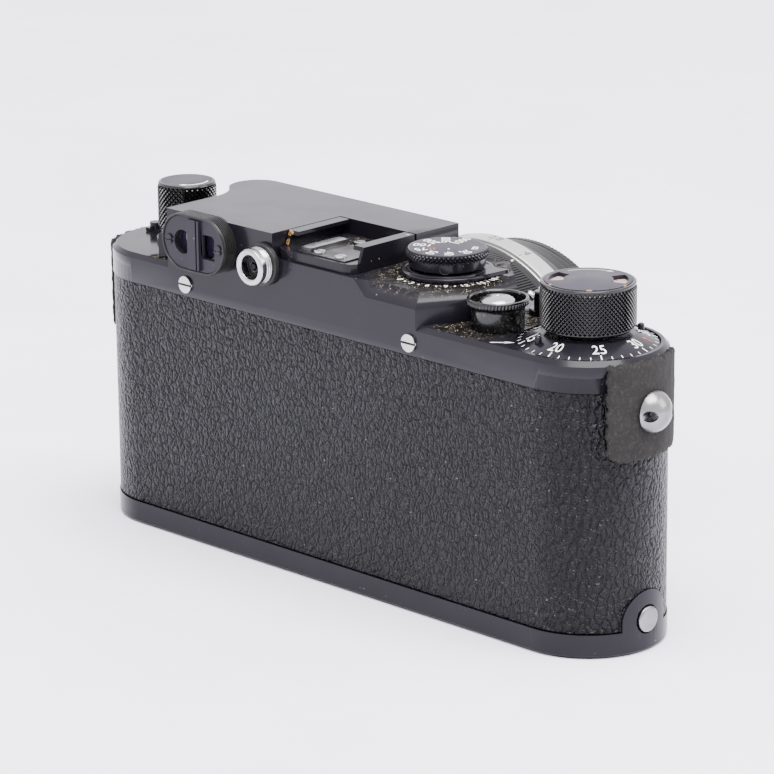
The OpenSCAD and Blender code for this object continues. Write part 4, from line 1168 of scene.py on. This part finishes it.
def build_focus_ring():
    at = facing_front(LENS)
    back, front = -high("focus_ring").y, -low("focus_ring").y
    r = 28.4
    flutes = 280

    def fluted(a, reach, y):
        groove = max(0.0, math.cos(flutes * a)) ** 0.6
        return reach - (0.34 * groove if back + 0.5 < y < front - 1.9 and reach > 28 else 0)

    inner = 22.96
    rows = [(inner, back), (r - 0.3, back), (r, back + 0.3), (r, back + 0.45), (r, back + 0.6),
            (r, front - 2.0), (r, front - 1.85), (r, front - 1.7), (r + 0.25, front - 0.8),
            (r + 0.05, front - 0.1), (r - 0.3, front), (inner, front), (inner, back)]
    bm = bmesh.new()
    turned(bm, at, rows, flutes * 4, fluted)
    stand_in("focus_ring_fluted", bm, "lens_black", "focus_ring", sharp=45)
    scale = bmesh.new()
    band = round_on(at, r + 0.1, front - 1.75, r + 0.27, front - 0.8)
    for k, label in enumerate(("3.5", "4", "5", "6", "8", "10", "15", "30")):
        u = math.radians(60 + 17 * k) * r
        write(scale, band, label, 0.75, u, 0.5)
    detail("distance_figures", scale, "white", "focus_ring")


def build_aperture_ring():
    at = facing_front(LENS)
    r, back, front = high("aperture_ring").x - LENS.x, -high("aperture_ring").y, -low("aperture_ring").y
    inner = 16.86
    bm = lathe(at, [(inner, back), (r - 0.75, back), (r - 0.7, back + 0.25), (r - 0.12, back + 0.35),
                    (r, back + 0.5), (r, front - 0.25), (r - 0.2, front), (inner, front), (inner, back)],
               0.1, 192)
    stand_in("aperture_ring_turned", bm, "silver_ring", "aperture_ring")
    stops = bmesh.new()
    belt = round_on(at, r, back, r, front)
    for k, label in enumerate(("1.5", "2", "2.8", "4", "5.6", "8", "11", "16")):
        u = math.radians(60 + 16.5 * k) * r
        write(stops, belt, label, 1.9, u, 2.9)
        stroke(stops, belt, [(u, 0.6), (u, 1.4)], 0.22)
    detail("aperture_figures", stops, "black_ink", "aperture_ring")


def build_lens_front():
    at = facing_front(LENS)
    back, front = -high("front_barrel").y, -low("front_barrel").y
    inner, step_r, step_y = 16.82, 19.4, 36.05
    bm = lathe(at, [(inner, back), (27.7, back), (27.9, back + 0.15), (27.85, back + 0.6), (27.2, back + 3.0),
                    (26.75, back + 3.1), (26.6, back + 3.4), (26.6, front - 0.35), (26.3, front),
                    (step_r, front), (step_r, step_y), (inner, step_y), (inner, back)], 0.1, 160)
    stand_in("front_barrel_turned", bm, "lens_black", "front_barrel")
    back, front = -high("front_rim").y, -low("front_rim").y

    def milled(a, reach, y):
        return reach - (0.12 * (0.5 + 0.5 * math.cos(180 * a)) if reach > 26 and y > front - 1.6 else 0)

    thread = []
    for k in range(6):
        y = front - 0.5 - 0.45 * k
        thread += [(24.25, y), (24.02, y - 0.22)]
    inner, outer, groove = 18.2, 26.2, 26.05
    outside = [(inner, back), (26.0, back), (outer, back + 0.15), (outer, back + 1.6),
               (groove, back + 1.7), (groove, back + 1.95), (outer, back + 2.05), (outer, front - 0.3),
               (25.9, front), (24.4, front)]
    bottom = [(24.1, back + 0.4), (21.5, back + 0.4), (21.4, back + 0.6), (19.9, back + 0.6),
              (19.8, back + 0.35), (inner, back + 0.35), (inner, back)]
    bm = lathe(at, outside + thread + bottom, 0.08, 720, milled)
    stand_in("front_rim_turned", bm, "lens_black", "front_rim")
    paint("silver_ring", "lens_barrel", "helicoid_body")
    paint("glass", "lens_glass")
    paint("steel", "iris_diaphragm")


# ---- inside ----

def build_inside():
    paint("steel", "wind_shaft", "dial_sleeve", "shutter_spindle", "sprocket", "rewind_shaft",
          "curtain_roller", "rangefinder_arm")
    paint("pale", "film_speed_disc")
    paint("bakelite", "take_up_spool")
    paint("shell", "shutter_crate")
    paint("silk", "shutter_curtain")
    paint("lens_black", "pressure_plate")
    paint("brass", "film_cassette")


# ---- stage ----

def build_stage():
    bm = bmesh.new()
    bmesh.ops.create_grid(bm, x_segments=2, y_segments=2, size=6)
    mesh = bpy.data.meshes.new("floor")
    bm.to_mesh(mesh)
    bm.free()
    mesh.materials.append(paper())
    floor = bpy.data.objects.new("floor", mesh)
    bpy.context.scene.collection.objects.link(floor)
    world = bpy.data.worlds.new("studio")
    world.use_nodes = True
    world.node_tree.nodes["Background"].inputs[0].default_value = (0.94, 0.93, 1.0, 1)
    world.node_tree.nodes["Background"].inputs[1].default_value = 2.6
    bpy.context.scene.world = world
    lights = (("key", (-0.35, 0.1, 1.5), 1.2, 84), ("front", (-1.2, -0.9, 0.9), 0.9, 14))
    for name, spot, size, power in lights:
        lamp = bpy.data.lights.new(name, "AREA")
        lamp.size = size
        lamp.energy = power
        holder = bpy.data.objects.new(name, lamp)
        holder.location = spot
        holder.rotation_euler = (Vector((0, 0, 0.03)) - Vector(spot)).to_track_quat("-Z", "Y").to_euler()
        bpy.context.scene.collection.objects.link(holder)


def build_camera():
    """Camera behind the winding end, 16.7 degrees up, with a long lens."""
    right = Vector((-0.71050893, -0.70361903, -0.00986501))
    up = Vector((0.19502616, -0.21036702, 0.95797208))
    lens = bpy.data.cameras.new("view")
    lens.sensor_width = 36
    lens.lens = 179.07
    lens.clip_start = 0.01
    holder = bpy.data.objects.new("view", lens)
    turn = Matrix((right, up, right.cross(up))).transposed().to_4x4()
    holder.matrix_world = Matrix.Translation(Vector((-0.497385, 0.497050, 0.246493))) @ turn
    bpy.context.scene.collection.objects.link(holder)
    bpy.context.scene.camera = holder


build_camera()
build_stage()
build_casing()
build_lugs()
build_winding()
build_release()
build_reversing()
build_speed_dial()
build_flash_delay()
build_rewind()
build_shoe()
build_eyepiece()
build_flash_socket()
build_front()
build_focus_ring()
build_aperture_ring()
build_lens_front()
build_inside()
